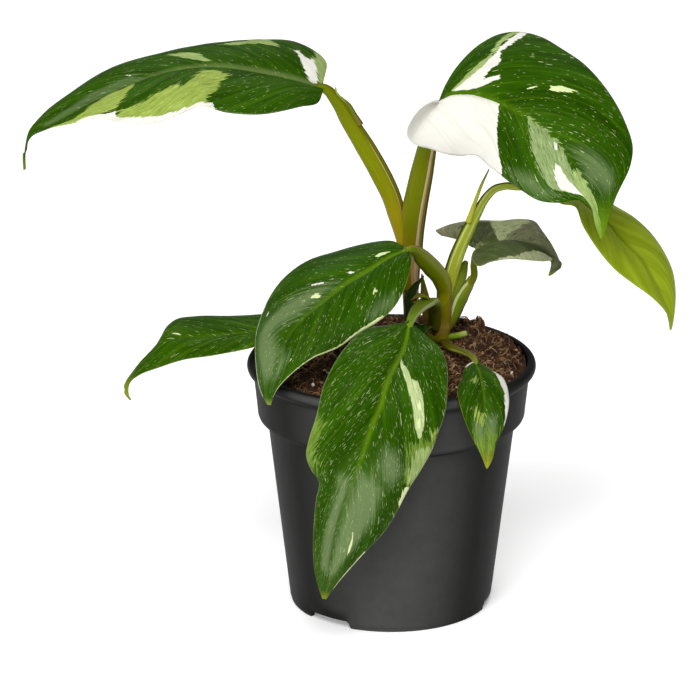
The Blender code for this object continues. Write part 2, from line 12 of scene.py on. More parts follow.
import bmesh
import bpy
import numpy as np
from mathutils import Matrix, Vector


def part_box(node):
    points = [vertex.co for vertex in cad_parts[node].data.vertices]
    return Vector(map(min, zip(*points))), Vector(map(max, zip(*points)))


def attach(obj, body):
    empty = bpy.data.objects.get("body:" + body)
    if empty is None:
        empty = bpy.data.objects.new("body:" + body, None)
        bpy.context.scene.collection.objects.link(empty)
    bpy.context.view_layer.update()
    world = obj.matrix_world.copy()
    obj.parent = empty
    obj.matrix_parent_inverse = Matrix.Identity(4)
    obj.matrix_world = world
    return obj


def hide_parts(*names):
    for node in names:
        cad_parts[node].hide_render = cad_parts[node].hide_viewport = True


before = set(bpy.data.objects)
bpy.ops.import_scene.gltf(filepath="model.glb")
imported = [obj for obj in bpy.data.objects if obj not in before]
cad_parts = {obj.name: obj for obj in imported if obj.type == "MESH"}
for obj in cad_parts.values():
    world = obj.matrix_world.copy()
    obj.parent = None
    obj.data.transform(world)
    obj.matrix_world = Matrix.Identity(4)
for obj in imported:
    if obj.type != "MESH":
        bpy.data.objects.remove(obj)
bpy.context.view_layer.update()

LOG = logging.getLogger("philodendron")
MM = 0.001
TINY = 1e-9
LEAF_STEP, STALK_STEP = 11.3, 7.7
BODY = "root"

Point = tuple[float, float, float]
Colour = tuple[float, float, float]
Pair = tuple[float, float]
Socket = bpy.types.NodeSocket
Sockets = dict[str, bpy.types.NodeSocket]
Node = bpy.types.Node
Tree = bpy.types.NodeTree
Material = bpy.types.Material
Piece = bpy.types.Object


class Tint(Enum):
    """Linear colours of the leaf: its own colours, and the sheen and shade painted onto some blades."""

    DARK = (0.012, 0.034, 0.0008)
    # Deep green of the blade; in soft zones on the front leaf it is painted shade.
    DEEP = (0.010, 0.036, 0.0004)
    GREEN = (0.022, 0.074, 0.0006)
    # Fresh green of the blade; on the small front leaf's lower blade it is painted sheen.
    FRESH = (0.110, 0.185, 0.022)
    # Painted sheen: pale grey-green zones where a blade would catch the light.
    SHEEN = (0.150, 0.205, 0.090)
    SLATE = (0.066, 0.082, 0.030)
    SLATE_DARK = (0.034, 0.050, 0.016)
    BRIGHT = (0.115, 0.215, 0.0050)
    SAGE = (0.240, 0.320, 0.105)
    YELLOW = (0.225, 0.300, 0.055)
    # Painted sheen: the grey of a glossy blade where it reflects the light.
    GREY = (0.200, 0.205, 0.110)
    MIST = (0.190, 0.260, 0.100)
    GREY_SAGE = (0.260, 0.285, 0.135)
    OLIVE = (0.250, 0.270, 0.020)
    LIME = (0.270, 0.345, 0.016)
    LIME_DARK = (0.170, 0.228, 0.005)
    PALE = (0.360, 0.430, 0.200)
    CREAM = (0.520, 0.580, 0.300)
    SILVER = (0.360, 0.380, 0.220)
    WHITE = (0.600, 0.588, 0.535)
    GREY_PALE = (0.420, 0.470, 0.240)
    UNDER = (0.100, 0.160, 0.035)


# The tints laid as soft zones: painted sheen, and deep green painted as shade.
SOFT_TINTS = (Tint.SHEEN, Tint.DEEP)


class Half(Enum):
    """The two halves of a blade, seen from above and looking to the tip."""

    LEFT = 1.0
    RIGHT = -1.0


LEFT, RIGHT = Half.LEFT, Half.RIGHT


def pot_origin() -> np.ndarray:
    """Find the pot's axis at floor level.

    Returns:
        The point in the frame's metres.
    """
    low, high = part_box("pot")
    return np.array([(low.x + high.x) / 2, (low.y + high.y) / 2, low.z])


ORIGIN = pot_origin()


def unit(vectors: np.ndarray) -> np.ndarray:
    """Scale each vector along the last axis to length one."""
    return vectors / np.maximum(np.linalg.norm(vectors, axis=-1, keepdims=True), TINY)


def bell(distance: np.ndarray, width: float) -> np.ndarray:
    """Return a bell curve: one at no distance and about a third at one width."""
    return np.exp(-((distance / width) ** 2))


def ease(value: np.ndarray, start: float, stop: float) -> np.ndarray:
    """Rise smoothly from nought at start to one at stop."""
    share = np.clip((value - start) / (stop - start), 0.0, 1.0)
    return share * share * (3 - 2 * share)


def run_along(line: np.ndarray) -> np.ndarray:
    """Return how far each point of a line lies from its first point, along the line."""
    return np.concatenate([[0.0], np.cumsum(np.linalg.norm(np.diff(line, axis=0), axis=1))])


def smooth_line(points: list[Point], shares: np.ndarray) -> np.ndarray:
    """Read a smooth curve through points, at shares of its own length.

    Each span is a cubic whose slopes at the points come from their neighbours.

    Args:
        points: The points that the curve passes through.
        shares: Where to read it, from 0 at the first point to 1 at the last.

    Returns:
        One row of x, y, z for each share.
    """
    corners = np.asarray(points, float)
    knots = run_along(corners)
    gaps = np.diff(knots)
    slopes = np.gradient(corners, knots, axis=0)
    dense = np.linspace(0.0, knots[-1], 60 * len(corners))
    span = np.clip(np.searchsorted(knots, dense, side="right") - 1, 0, len(gaps) - 1)
    gap = gaps[span][:, None]
    u = (dense - knots[span])[:, None] / gap
    line = (
        (2 * u**3 - 3 * u**2 + 1) * corners[span]
        + (u**3 - 2 * u**2 + u) * gap * slopes[span]
        + (3 * u**2 - 2 * u**3) * corners[span + 1]
        + (u**3 - u**2) * gap * slopes[span + 1]
    )
    run = run_along(line)
    wanted = np.asarray(shares) * run[-1]
    return np.column_stack([np.interp(wanted, run, line[:, k]) for k in range(3)])


def headings(points: list[Point], shares: np.ndarray, step: float) -> np.ndarray:
    """Return the direction of a smooth curve at each share, taken over a step either way."""
    ahead = smooth_line(points, np.minimum(shares + step, 1.0))
    return unit(ahead - smooth_line(points, np.maximum(shares - step, 0.0)))


def lattice_noise(places: np.ndarray, seed: int) -> np.ndarray:
    """Blend random values on a unit lattice smoothly between its corners.

    Args:
        places: Points, with x and y in their last axis.
        seed: Which random table to use.

    Returns:
        Values from -1 to 1, one for each place.
    """
    size = 64
    table = np.random.default_rng(seed).uniform(-1.0, 1.0, (size, size))
    cell = np.floor(places).astype(int)
    share = ease(places - cell, 0.0, 1.0)
    x0, y0 = cell[..., 0] % size, cell[..., 1] % size
    x1, y1 = (x0 + 1) % size, (y0 + 1) % size
    near = table[x0, y0] * (1 - share[..., 0]) + table[x1, y0] * share[..., 0]
    far = table[x0, y1] * (1 - share[..., 0]) + table[x1, y1] * share[..., 0]
    return near * (1 - share[..., 1]) + far * share[..., 1]


def grid_faces(rows: int, columns: int, around: bool = False) -> np.ndarray:
    """List the quads of a grid of points that is stored row by row.

    Args:
        rows: How many rows of points.
        columns: How many points in a row.
        around: Whether the last column joins the first.

    Returns:
        Four point numbers for each quad.
    """
    index = np.arange(rows * columns).reshape(rows, columns)
    beside = np.roll(index, -1, axis=1)
    quads = np.stack([index[:-1], index[1:], beside[1:], beside[:-1]], axis=-1)
    return (quads if around else quads[:, :-1]).reshape(-1, 4)


def closed_faces(rows: int, columns: int) -> list[np.ndarray]:
    """List the faces of a closed tube, whose two poles follow the grid's points.

    Args:
        rows: How many rings of points.
        columns: How many points in a ring.

    Returns:
        The quads, and a fan of triangles for the first and for the last ring.
    """
    count = rows * columns
    index = np.arange(count).reshape(rows, columns)
    beside = np.roll(index, -1, axis=1)
    first = np.column_stack([np.full(columns, count), index[0], beside[0]])
    last = np.column_stack([np.full(columns, count + 1), beside[-1], index[-1]])
    return [grid_faces(rows, columns, around=True), first, last]


class Graph:
    """A node tree with short ways to add and join its nodes."""

    def __init__(self, tree: Tree) -> None:
        """Hold the tree."""
        self.tree = tree

    def node(self, kind: str, **settings: object) -> Node:
        """Add a node.

        Args:
            kind: The node's type.
            settings: Its properties.

        Returns:
            The node.
        """
        made = self.tree.nodes.new(kind)
        for name, value in settings.items():
            setattr(made, name, value)
        return made

    def feed(self, socket: Socket, value: object) -> None:
        """Join a socket to another socket, or set its value.

        Args:
            socket: The input to feed.
            value: An output socket, a number or a tuple.
        """
        if isinstance(value, Socket):
            self.tree.links.new(value, socket)
        elif isinstance(value, tuple) and socket.type == "RGBA":
            socket.default_value = (*value[:3], 1.0)
        else:
            socket.default_value = value

    def fill(self, node: Node, *values: object) -> Socket:
        """Feed a node's first inputs in turn.

        Args:
            node: The node.
            values: What to feed them.

        Returns:
            The node's first output.
        """
        for socket, value in zip(node.inputs, values):
            self.feed(socket, value)
        return node.outputs[0]

    def math(self, operation: str, *values: object) -> Socket:
        """Add a Math node and return its value."""
        return self.fill(self.node("ShaderNodeMath", operation=operation), *values)

    def times(self, first: object, *others: object) -> Socket:
        """Multiply values with each other.

        Args:
            first: The first value.
            others: The others.

        Returns:
            The product.
        """
        for other in others:
            first = self.math("MULTIPLY", first, other)
        return first

    def line(self, value: object, slope: object, start: object) -> Socket:
        """Return a value times a slope, plus a start."""
        return self.math("MULTIPLY_ADD", value, slope, start)

    def mix(self, factor: object, first: object, second: object) -> Socket:
        """Mix two colours.

        Args:
            factor: The share of the second colour.
            first: The first colour.
            second: The second colour.

        Returns:
            The mixed colour.
        """
        made = self.node("ShaderNodeMix", data_type="RGBA")
        for number, value in ((0, factor), (6, first), (7, second)):
            self.feed(made.inputs[number], value)
        return made.outputs[2]

    def between(self, value: object, low: object, high: object) -> Socket:
        """Rise smoothly from nought at low to one at high."""
        made = self.node("ShaderNodeMapRange", interpolation_type="SMOOTHSTEP")
        return self.fill(made, value, low, high)

    def noise(self, place: object, scale: object, detail: float, roughness: float = 0.55) -> Socket:
        """Add a Noise Texture.

        Args:
            place: Where it is read.
            scale: How many cells to a unit.
            detail: How many octaves.
            roughness: How strong the finer octaves are.

        Returns:
            Its factor.
        """
        made = self.node("ShaderNodeTexNoise")
        values = {"Vector": place, "Scale": scale, "Detail": detail, "Roughness": roughness}
        for name, value in values.items():
            self.feed(made.inputs[name], value)
        return made.outputs["Fac"]

    def streaks(self, place: object, stretch: Point, detail: float, roughness: float = 0.55) -> Socket:
        """Read noise at a place whose three numbers are scaled first, which draws it out."""
        scaled = self.fill(self.node("ShaderNodeVectorMath", operation="MULTIPLY"), place, stretch)
        return self.noise(scaled, 1.0, detail, roughness)

    def combine(self, x: object, y: object, z: object) -> Socket:
        """Make a vector of three numbers."""
        return self.fill(self.node("ShaderNodeCombineXYZ"), x, y, z)

    def split(self, vector: object) -> tuple[Socket, ...]:
        """Split a vector.

        Args:
            vector: The vector.

        Returns:
            Its three numbers.
        """
        made = self.node("ShaderNodeSeparateXYZ")
        self.feed(made.inputs[0], vector)
        return tuple(made.outputs)

    def attribute(self, name: str, output: str = "Fac") -> Socket:
        """Read a named attribute of the mesh."""
        return self.node("ShaderNodeAttribute", attribute_name=name).outputs[output]

    def place(self) -> Socket:
        """Read the Object coordinates."""
        return self.node("ShaderNodeTexCoord").outputs["Object"]

    def group(self, tree: Tree, **values: object) -> Sockets:
        """Place a node group.

        Args:
            tree: The group.
            values: What to feed its inputs, by name.

        Returns:
            Its outputs by name.
        """
        made = self.node("ShaderNodeGroup", node_tree=tree)
        for name, value in values.items():
            self.feed(made.inputs[name], value)
        return {socket.name: socket for socket in made.outputs}

    def bump(self, height: object, distance: float, strength: float = 0.5) -> Socket:
        """Add a Bump node.

        Args:
            height: The height, from 0 to 1.
            distance: How far 1 stands out, in metres.
            strength: How much of it shows.

        Returns:
            The normal.
        """
        made = self.node("ShaderNodeBump")
        for name, value in (("Strength", strength), ("Distance", distance), ("Height", height)):
            self.feed(made.inputs[name], value)
        return made.outputs[0]


def new_group(name: str, inputs: dict[str, str],
              outputs: tuple[str, ...]) -> tuple[Graph, Sockets, Sockets]:
    """Start a shader node group whose outputs are numbers.

    Args:
        name: The group's name.
        inputs: Socket type of each input by name, such as Float or Vector.
        outputs: The names of the outputs.

    Returns:
        The group's graph, its inner input sockets by name and its output sockets by name.
    """
    tree = bpy.data.node_groups.new(name, "ShaderNodeTree")
    for label, kind in inputs.items():
        tree.interface.new_socket(name=label, in_out="INPUT", socket_type=f"NodeSocket{kind}")
    for label in outputs:
        tree.interface.new_socket(name=label, in_out="OUTPUT", socket_type="NodeSocketFloat")
    graph = Graph(tree)
    source = graph.node("NodeGroupInput")
    result = graph.node("NodeGroupOutput")
    return graph, {o.name: o for o in source.outputs}, {i.name: i for i in result.inputs}


def torn_edge_group() -> Tree:
    """Build the mask of a pigment whose edge is torn into fingers along the side veins.

    The distance into the patch is shifted by a noise that changes fast across the veins
    and slowly along them, and is then cut off sharply at nought.

    Returns:
        The node group. Inside is a distance in millimetres, Place holds the millimetres
        across the veins and along them, and the leaf's seed.
    """
    graph, given, result = new_group(
        "torn_edge", {"Inside": "Float", "Place": "Vector", "Reach": "Float"}, ("Mask",))
    fingers = graph.streaks(given["Place"], (0.62, 0.20, 1.0), 5.0, 0.70)
    shifted = graph.line(graph.math("SUBTRACT", fingers, 0.5), given["Reach"], given["Inside"])
    graph.feed(result["Mask"], graph.between(shifted, -0.10, 0.10))
    return graph.tree


@dataclass(frozen=True)
class Fleck:
    """One kind of fleck: its cells per millimetre across and along the veins, and its size."""

    across: float
    along: float
    radius: float
    share: float


FLECKS = (Fleck(0.65, 0.19, 0.105, 1.0), Fleck(1.05, 0.42, 0.125, 0.9), Fleck(0.32, 0.085, 0.085, 0.4))


def fleck_group() -> Tree:
    """Build the masks of fine pale flecks and of a long streaky haze, both along the side veins; in grey
    the haze is painted sheen.

    Each fleck is the middle of a Voronoi cell that is drawn out along the veins. A share
    of the cells, Density, is kept.

    Returns:
        The node group, with Place as in the torn edge and Density as inputs.
    """
    graph, given, result = new_group(
        "pale_flecks", {"Place": "Vector", "Density": "Float"}, ("Mask", "Haze"))
    vein, across, seed = graph.split(given["Place"])
    mask = 0.0
    for number, kind in enumerate(FLECKS):
        place = graph.combine(graph.line(vein, kind.across, graph.math("ADD", seed, 3.7 * number)),
                              graph.line(across, kind.along, seed), 0.0)
        cells = graph.node("ShaderNodeTexVoronoi", feature="F1", voronoi_dimensions="2D")
        cells.inputs["Scale"].default_value = 1.0
        graph.feed(cells.inputs["Vector"], place)
        pick = graph.node("ShaderNodeSeparateColor")
        graph.feed(pick.inputs[0], cells.outputs["Color"])
        chance, bulk, glow = pick.outputs[:3]
        chosen = graph.math("LESS_THAN", chance, graph.times(given["Density"], kind.share))
        size = graph.times(graph.line(bulk, 1.0, 0.35), kind.radius)
        near = graph.between(cells.outputs["Distance"], size, graph.times(size, 0.55))
        strength = graph.line(graph.math("POWER", glow, 2.0), 0.75, 0.20)
        mask = graph.math("MAXIMUM", mask, graph.times(near, chosen, strength))
    graph.feed(result["Mask"], mask)
    graph.feed(result["Haze"], graph.streaks(given["Place"], (0.14, 0.035, 1.0), 6.0, 0.72))
    return graph.tree


def grain_group() -> Tree:
    """Build a fine grain on Object coordinates, with a height and a slow mottle.

    Returns:
        The node group, with Size in millimetres as its input.
    """
    graph, given, result = new_group("fine_grain", {"Size": "Float"}, ("Height", "Mottle"))
    place = graph.place()
    scale = graph.math("DIVIDE", 1.0 / MM, given["Size"])
    graph.feed(result["Height"], graph.noise(place, scale, 2.0, 0.5))
    graph.feed(result["Mottle"], graph.noise(place, graph.times(scale, 0.045), 3.0, 0.6))
    return graph.tree


@dataclass
class Groups:
    """The node groups that the finishes share."""

    torn_edge: Tree = field(default_factory=torn_edge_group)
    flecks: Tree = field(default_factory=fleck_group)
    grain: Tree = field(default_factory=grain_group)


GROUPS = Groups()


def new_material(name: str, **values: object) -> tuple[Material, Graph, bpy.types.NodeInputs]:
    """Start a material and set its shader's plain values.

    Args:
        name: The material's name.
        values: Values of the Principled shader's inputs; an underscore stands for a space.

    Returns:
        The material, its graph and the shader's inputs.
    """
    material = bpy.data.materials.new(name)
    material.use_nodes = True
    graph = Graph(material.node_tree)
    inputs = material.node_tree.nodes["Principled BSDF"].inputs
    for label, value in values.items():
        graph.feed(inputs[label.replace("_", " ")], value)
    return material, graph, inputs


def add_mesh(name: str, points: np.ndarray, faces: list[np.ndarray], material: Material,
             **values: np.ndarray) -> Piece:
    """Make a smooth-shaded object of points in millimetres about the pot's axis.

    Args:
        name: The object's name.
        points: One row for each point.
        faces: Arrays of point numbers, each with its own count of corners.
        material: The finish.
        values: Attributes of the points by name: a number or a row of three for each point.

    Returns:
        The object, at the origin with its place in its mesh.
    """
    mesh = bpy.data.meshes.new(name)
    placed = (points * MM + ORIGIN).astype(np.float32)
    corners = np.concatenate([f.ravel() for f in faces]).astype(np.int32)
    counts = np.concatenate([np.full(len(f), f.shape[1], np.int32) for f in faces])
    starts = np.concatenate([[0], np.cumsum(counts)[:-1]]).astype(np.int32)
    mesh.vertices.add(len(placed))
    mesh.vertices.foreach_set("co", placed.ravel())
    mesh.loops.add(len(corners))
    mesh.loops.foreach_set("vertex_index", corners)
    mesh.polygons.add(len(counts))
    mesh.polygons.foreach_set("loop_start", starts)
    mesh.update(calc_edges=True)
    for label, rows in values.items():
        kind, part = ("FLOAT", "value") if rows.ndim == 1 else ("FLOAT_VECTOR", "vector")
        layer = mesh.attributes.new(label, kind, "POINT")
        layer.data.foreach_set(part, rows.astype(np.float32).ravel())
    mesh.validate()
    mesh.shade_smooth()
    mesh.materials.append(material)
    item = bpy.data.objects.new(name, mesh)
    bpy.context.scene.collection.objects.link(item)
    return item


def face_outwards(item: Piece) -> None:
    """Turn an object's faces outwards.

    Args:
        item: The object.
    """
    shape = bmesh.new()
    shape.from_mesh(item.data)
    bmesh.ops.recalc_face_normals(shape, faces=shape.faces)
    shape.to_mesh(item.data)
    shape.free()


def settle(item: Piece, slot: str, *nodes: str) -> Piece:
    """Let a piece ride on the plant's one body and stand for its solids.

    Args:
        item: The piece.
        slot: The name of its finish's slot; not used.
        nodes: The nodes that it replaces.

    Returns:
        The piece.
    """
    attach(item, BODY)
    if nodes:
        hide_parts(*nodes)
    LOG.info("%s: %d faces", item.name, len(item.data.polygons))
    return item


@dataclass(frozen=True)
class Patch:
    """One patch on a half of a blade, of a pigment, of painted sheen or of painted shade.

    The greater ragged is, the more the edge is torn. The corners are thousandths of the
    leaf's length and of the half's width, from midrib to edge.
    """

    half: Half
    tint: Tint
    ragged: float
    corners: tuple[tuple[int, int], ...]

    def inside(self, along: np.ndarray, across: np.ndarray, length: float, width: float) -> np.ndarray:
        """Measure how far points lie inside the patch's outline.

        The distance is the shortest one to any side. Its sign comes from how often a ray
        from the point crosses the sides.

        Args:
            along: Share along the leaf of each point.
            across: Signed share across the blade of each point.
            length: The leaf's length in millimetres.
            width: The half's width in millimetres.

        Returns:
            Millimetres, above nought inside the outline, divided by the patch's raggedness.
        """
        x, y = along[..., None] * length, across[..., None] * self.half.value * width
        corners = np.array(self.corners) / 1000 * (length, width)
        after = np.roll(corners, -1, axis=0)
        side = after - corners
        off_x, off_y = x - corners[:, 0], y - corners[:, 1]
        share = np.clip((off_x * side[:, 0] + off_y * side[:, 1]) / (side**2).sum(axis=1), 0.0, 1.0)
        gap = np.hypot(off_x - share * side[:, 0], off_y - share * side[:, 1]).min(axis=-1)
        spans = (corners[:, 1] > y) != (after[:, 1] > y)
        rise = np.where(np.abs(side[:, 1]) < TINY, TINY, side[:, 1])
        crossed = spans & (x < corners[:, 0] + off_y / rise * side[:, 0])
        signed = np.where(crossed.sum(axis=-1) % 2 == 1, gap, -gap)
        past_rib = 0.3
        return np.minimum(signed, y[..., 0] + past_rib) / self.ragged


@dataclass(frozen=True)
class LeafFinish:
    """The colours and gloss of one leaf."""

    ground: Tint = Tint.GREEN
    deep: Tint = Tint.DEEP
    flecks: float = 0.20
    # A streaky haze along the veins; in grey it is painted sheen.
    haze: float = 0.25
    haze_tint: Tint = Tint.SAGE
    haze_from: float = -0.5
    midrib: Tint = Tint.BRIGHT
    midrib_strength: float = 0.6
    midrib_width: float = 0.105
    midrib_taper: float = 0.070
    margin: Tint = Tint.CREAM
    margin_strength: float = 0.35
    margin_at: Pair = (0.975, 0.99)
    tip: Tint = Tint.OLIVE
    tip_from: float = 0.93
    under_strength: float = 0.6
    roughness: float = 0.34
    shine: float = 0.05
    # How strongly the soft zones of painted sheen and painted shade show.
    soft: float = 0.70
    thread: float = 0.9
    reach: float = 11.0

    def material(self, name: str, size: Pair, seed: float, pigments: list[Tint]) -> Material:
        """Build the leaf's material.

        Args:
            name: The leaf's name.
            size: The blade's length and half its width in millimetres.
            seed: What sets its pattern apart.
            pigments: The tints of its patches, painted in this order.

        Returns:
            The material.
        """
        material, graph, shader = new_material(
            f"{name}_finish", Specular_IOR_Level=self.shine, Specular_Tint=(0.65, 1.0, 0.30), IOR=1.25,
            Subsurface_Weight=0.03, Subsurface_Radius=(0.0012, 0.002, 0.0006))
        along, across, vein = graph.split(graph.attribute("leaf_place", "Vector"))
        real = graph.combine(graph.times(vein, size[0]), graph.times(across, size[1]), seed)
        threads = graph.streaks(real, (self.thread, 0.05, 1.0), 3.0, 0.6)
        # Soft zones are painted light: sheen where the blade would catch the light, and shade on its
        # curves.
        zones = [tint for tint in pigments if tint in SOFT_TINTS]
        colour = self.ground_colour(graph, along, real, threads, zones)
        green = 1.0
        for tint in (tint for tint in pigments if tint not in SOFT_TINTS):
            mask = graph.group(GROUPS.torn_edge, Inside=graph.attribute(pigment_name(tint)), Place=real,
                               Reach=self.reach)["Mask"]
            colour = graph.mix(mask, colour, self.mottled(graph, tint, real, threads))
            if tint is Tint.WHITE:
                green = graph.math("SUBTRACT", 1.0, mask)
        colour = self.lined(graph, colour, along, graph.math("ABSOLUTE", across))
        under = graph.attribute("leaf_under")
        pale = graph.mix(self.under_strength, colour, Tint.UNDER.value)
        graph.feed(shader["Base Color"], graph.mix(graph.times(under, green), colour, pale))
        grain = graph.group(GROUPS.grain, Size=0.35)
        gloss = graph.line(grain["Mottle"], 0.14, self.roughness - 0.07)
        graph.feed(shader["Roughness"], graph.line(under, 0.16, gloss))
        graph.feed(shader["Normal"], graph.bump(graph.line(grain["Height"], 0.25, threads), 0.00016))
        return material

    def ground_colour(self, graph: Graph, along: Socket, real: Socket, threads: Socket,
                      zones: list[Tint]) -> Socket:
        """Paint what lies below the torn patches: bands, threads, a haze that is painted sheen where it is
        grey, soft zones of painted sheen and painted shade, and flecks.

        Args:
            graph: The material's graph.
            along: The share along the leaf.
            real: The place in millimetres across and along the side veins, and the seed.
            threads: A noise drawn out along the side veins.
            zones: The tints of the soft zones of painted sheen and painted shade.

        Returns:
            The colour.
        """
        clusters = graph.streaks(real, (0.07, 0.05, 1.0), 2.0)
        crowd = graph.times(graph.line(clusters, 3.0, -0.5), self.flecks)
        flecks = graph.group(GROUPS.flecks, Place=real, Density=crowd)
        bands = graph.streaks(real, (0.13, 0.050, 1.0), 6.0, 0.66)
        colour = graph.mix(graph.between(bands, 0.32, 0.70), self.deep.value, self.ground.value)
        fresh = Tint.LIME_DARK if self.ground is Tint.LIME else Tint.BRIGHT
        colour = graph.mix(graph.times(graph.between(threads, 0.50, 0.72), 0.26), colour, fresh.value)
        # The haze: where haze_tint is grey, this is painted sheen along the veins.
        veil = graph.times(graph.between(flecks["Haze"], 0.44, 0.78), self.haze,
                           graph.between(along, self.haze_from, self.haze_from + 0.3))
        colour = graph.mix(veil, colour, self.haze_tint.value)
        # Lay the soft zones of painted sheen and painted shade.
        for tint in zones:
            inside = graph.line(threads, 4.0, graph.attribute(pigment_name(tint)))
            colour = graph.mix(graph.times(graph.between(inside, 1.0, 3.6), self.soft), colour, tint.value)
        return graph.mix(flecks["Mask"], colour, Tint.CREAM.value)

    def lined(self, graph: Graph, colour: Socket, along: Socket, outwards: Socket) -> Socket:
        """Lay the midrib, the margin and the tip over the colour.

        Args:
            graph: The material's graph.
            colour: The colour so far.
            along: The share along the leaf.
            outwards: The share from the midrib to the edge.

        Returns:
            The colour.
        """
        line = graph.between(outwards, graph.line(along, -self.midrib_taper, self.midrib_width), 0.0)
        rib = graph.times(line, self.midrib_strength, graph.between(along, 0.95, 0.15))
        colour = graph.mix(rib, colour, self.midrib.value)
        rim = graph.times(graph.between(outwards, *self.margin_at), self.margin_strength)
        colour = graph.mix(rim, colour, self.margin.value)
        end = graph.times(graph.between(along, self.tip_from, 1.0), 0.85)
        return graph.mix(end, colour, self.tip.value)

    def mottled(self, graph: Graph, tint: Tint, real: Socket, threads: Socket) -> object:
        """Vary a pigment: cream not at all, white hardly, others by threads and clouds.

        Args:
            graph: The material's graph.
            tint: The pigment.
            real: The place in millimetres across and along the side veins, and the seed.
            threads: A noise drawn out along the side veins.

        Returns:
            The colour.
        """
        colour = tint.value
        if tint is Tint.CREAM:
            return colour
        if tint is Tint.WHITE:
            clouds = graph.streaks(real, (0.22, 0.03, 1.0), 4.0)
            warm = tuple(share * c for share, c in zip((0.84, 0.80, 0.77), colour))
            return graph.mix(graph.between(clouds, 0.45, 0.75), colour, warm)
        pale = tuple(min(0.7, 1.5 * c + 0.04) for c in colour)
        deep = tuple(0.40 * c for c in colour)
        clouds = graph.streaks(real, (0.85, 0.38, 1.0), 6.0, 0.80)
        tone = graph.mix(graph.between(clouds, 0.53, 0.66), colour, pale)
        tone = graph.mix(graph.times(graph.between(clouds, 0.47, 0.38), 0.75), tone, deep)
        return graph.mix(graph.times(graph.between(threads, 0.50, 0.64), 0.20), tone, deep)


def pigment_name(tint: Tint) -> str:
    """Return the name of the attribute that holds how far inside a tint's patches a point lies."""
    return f"pigment_{tint.name.lower()}"


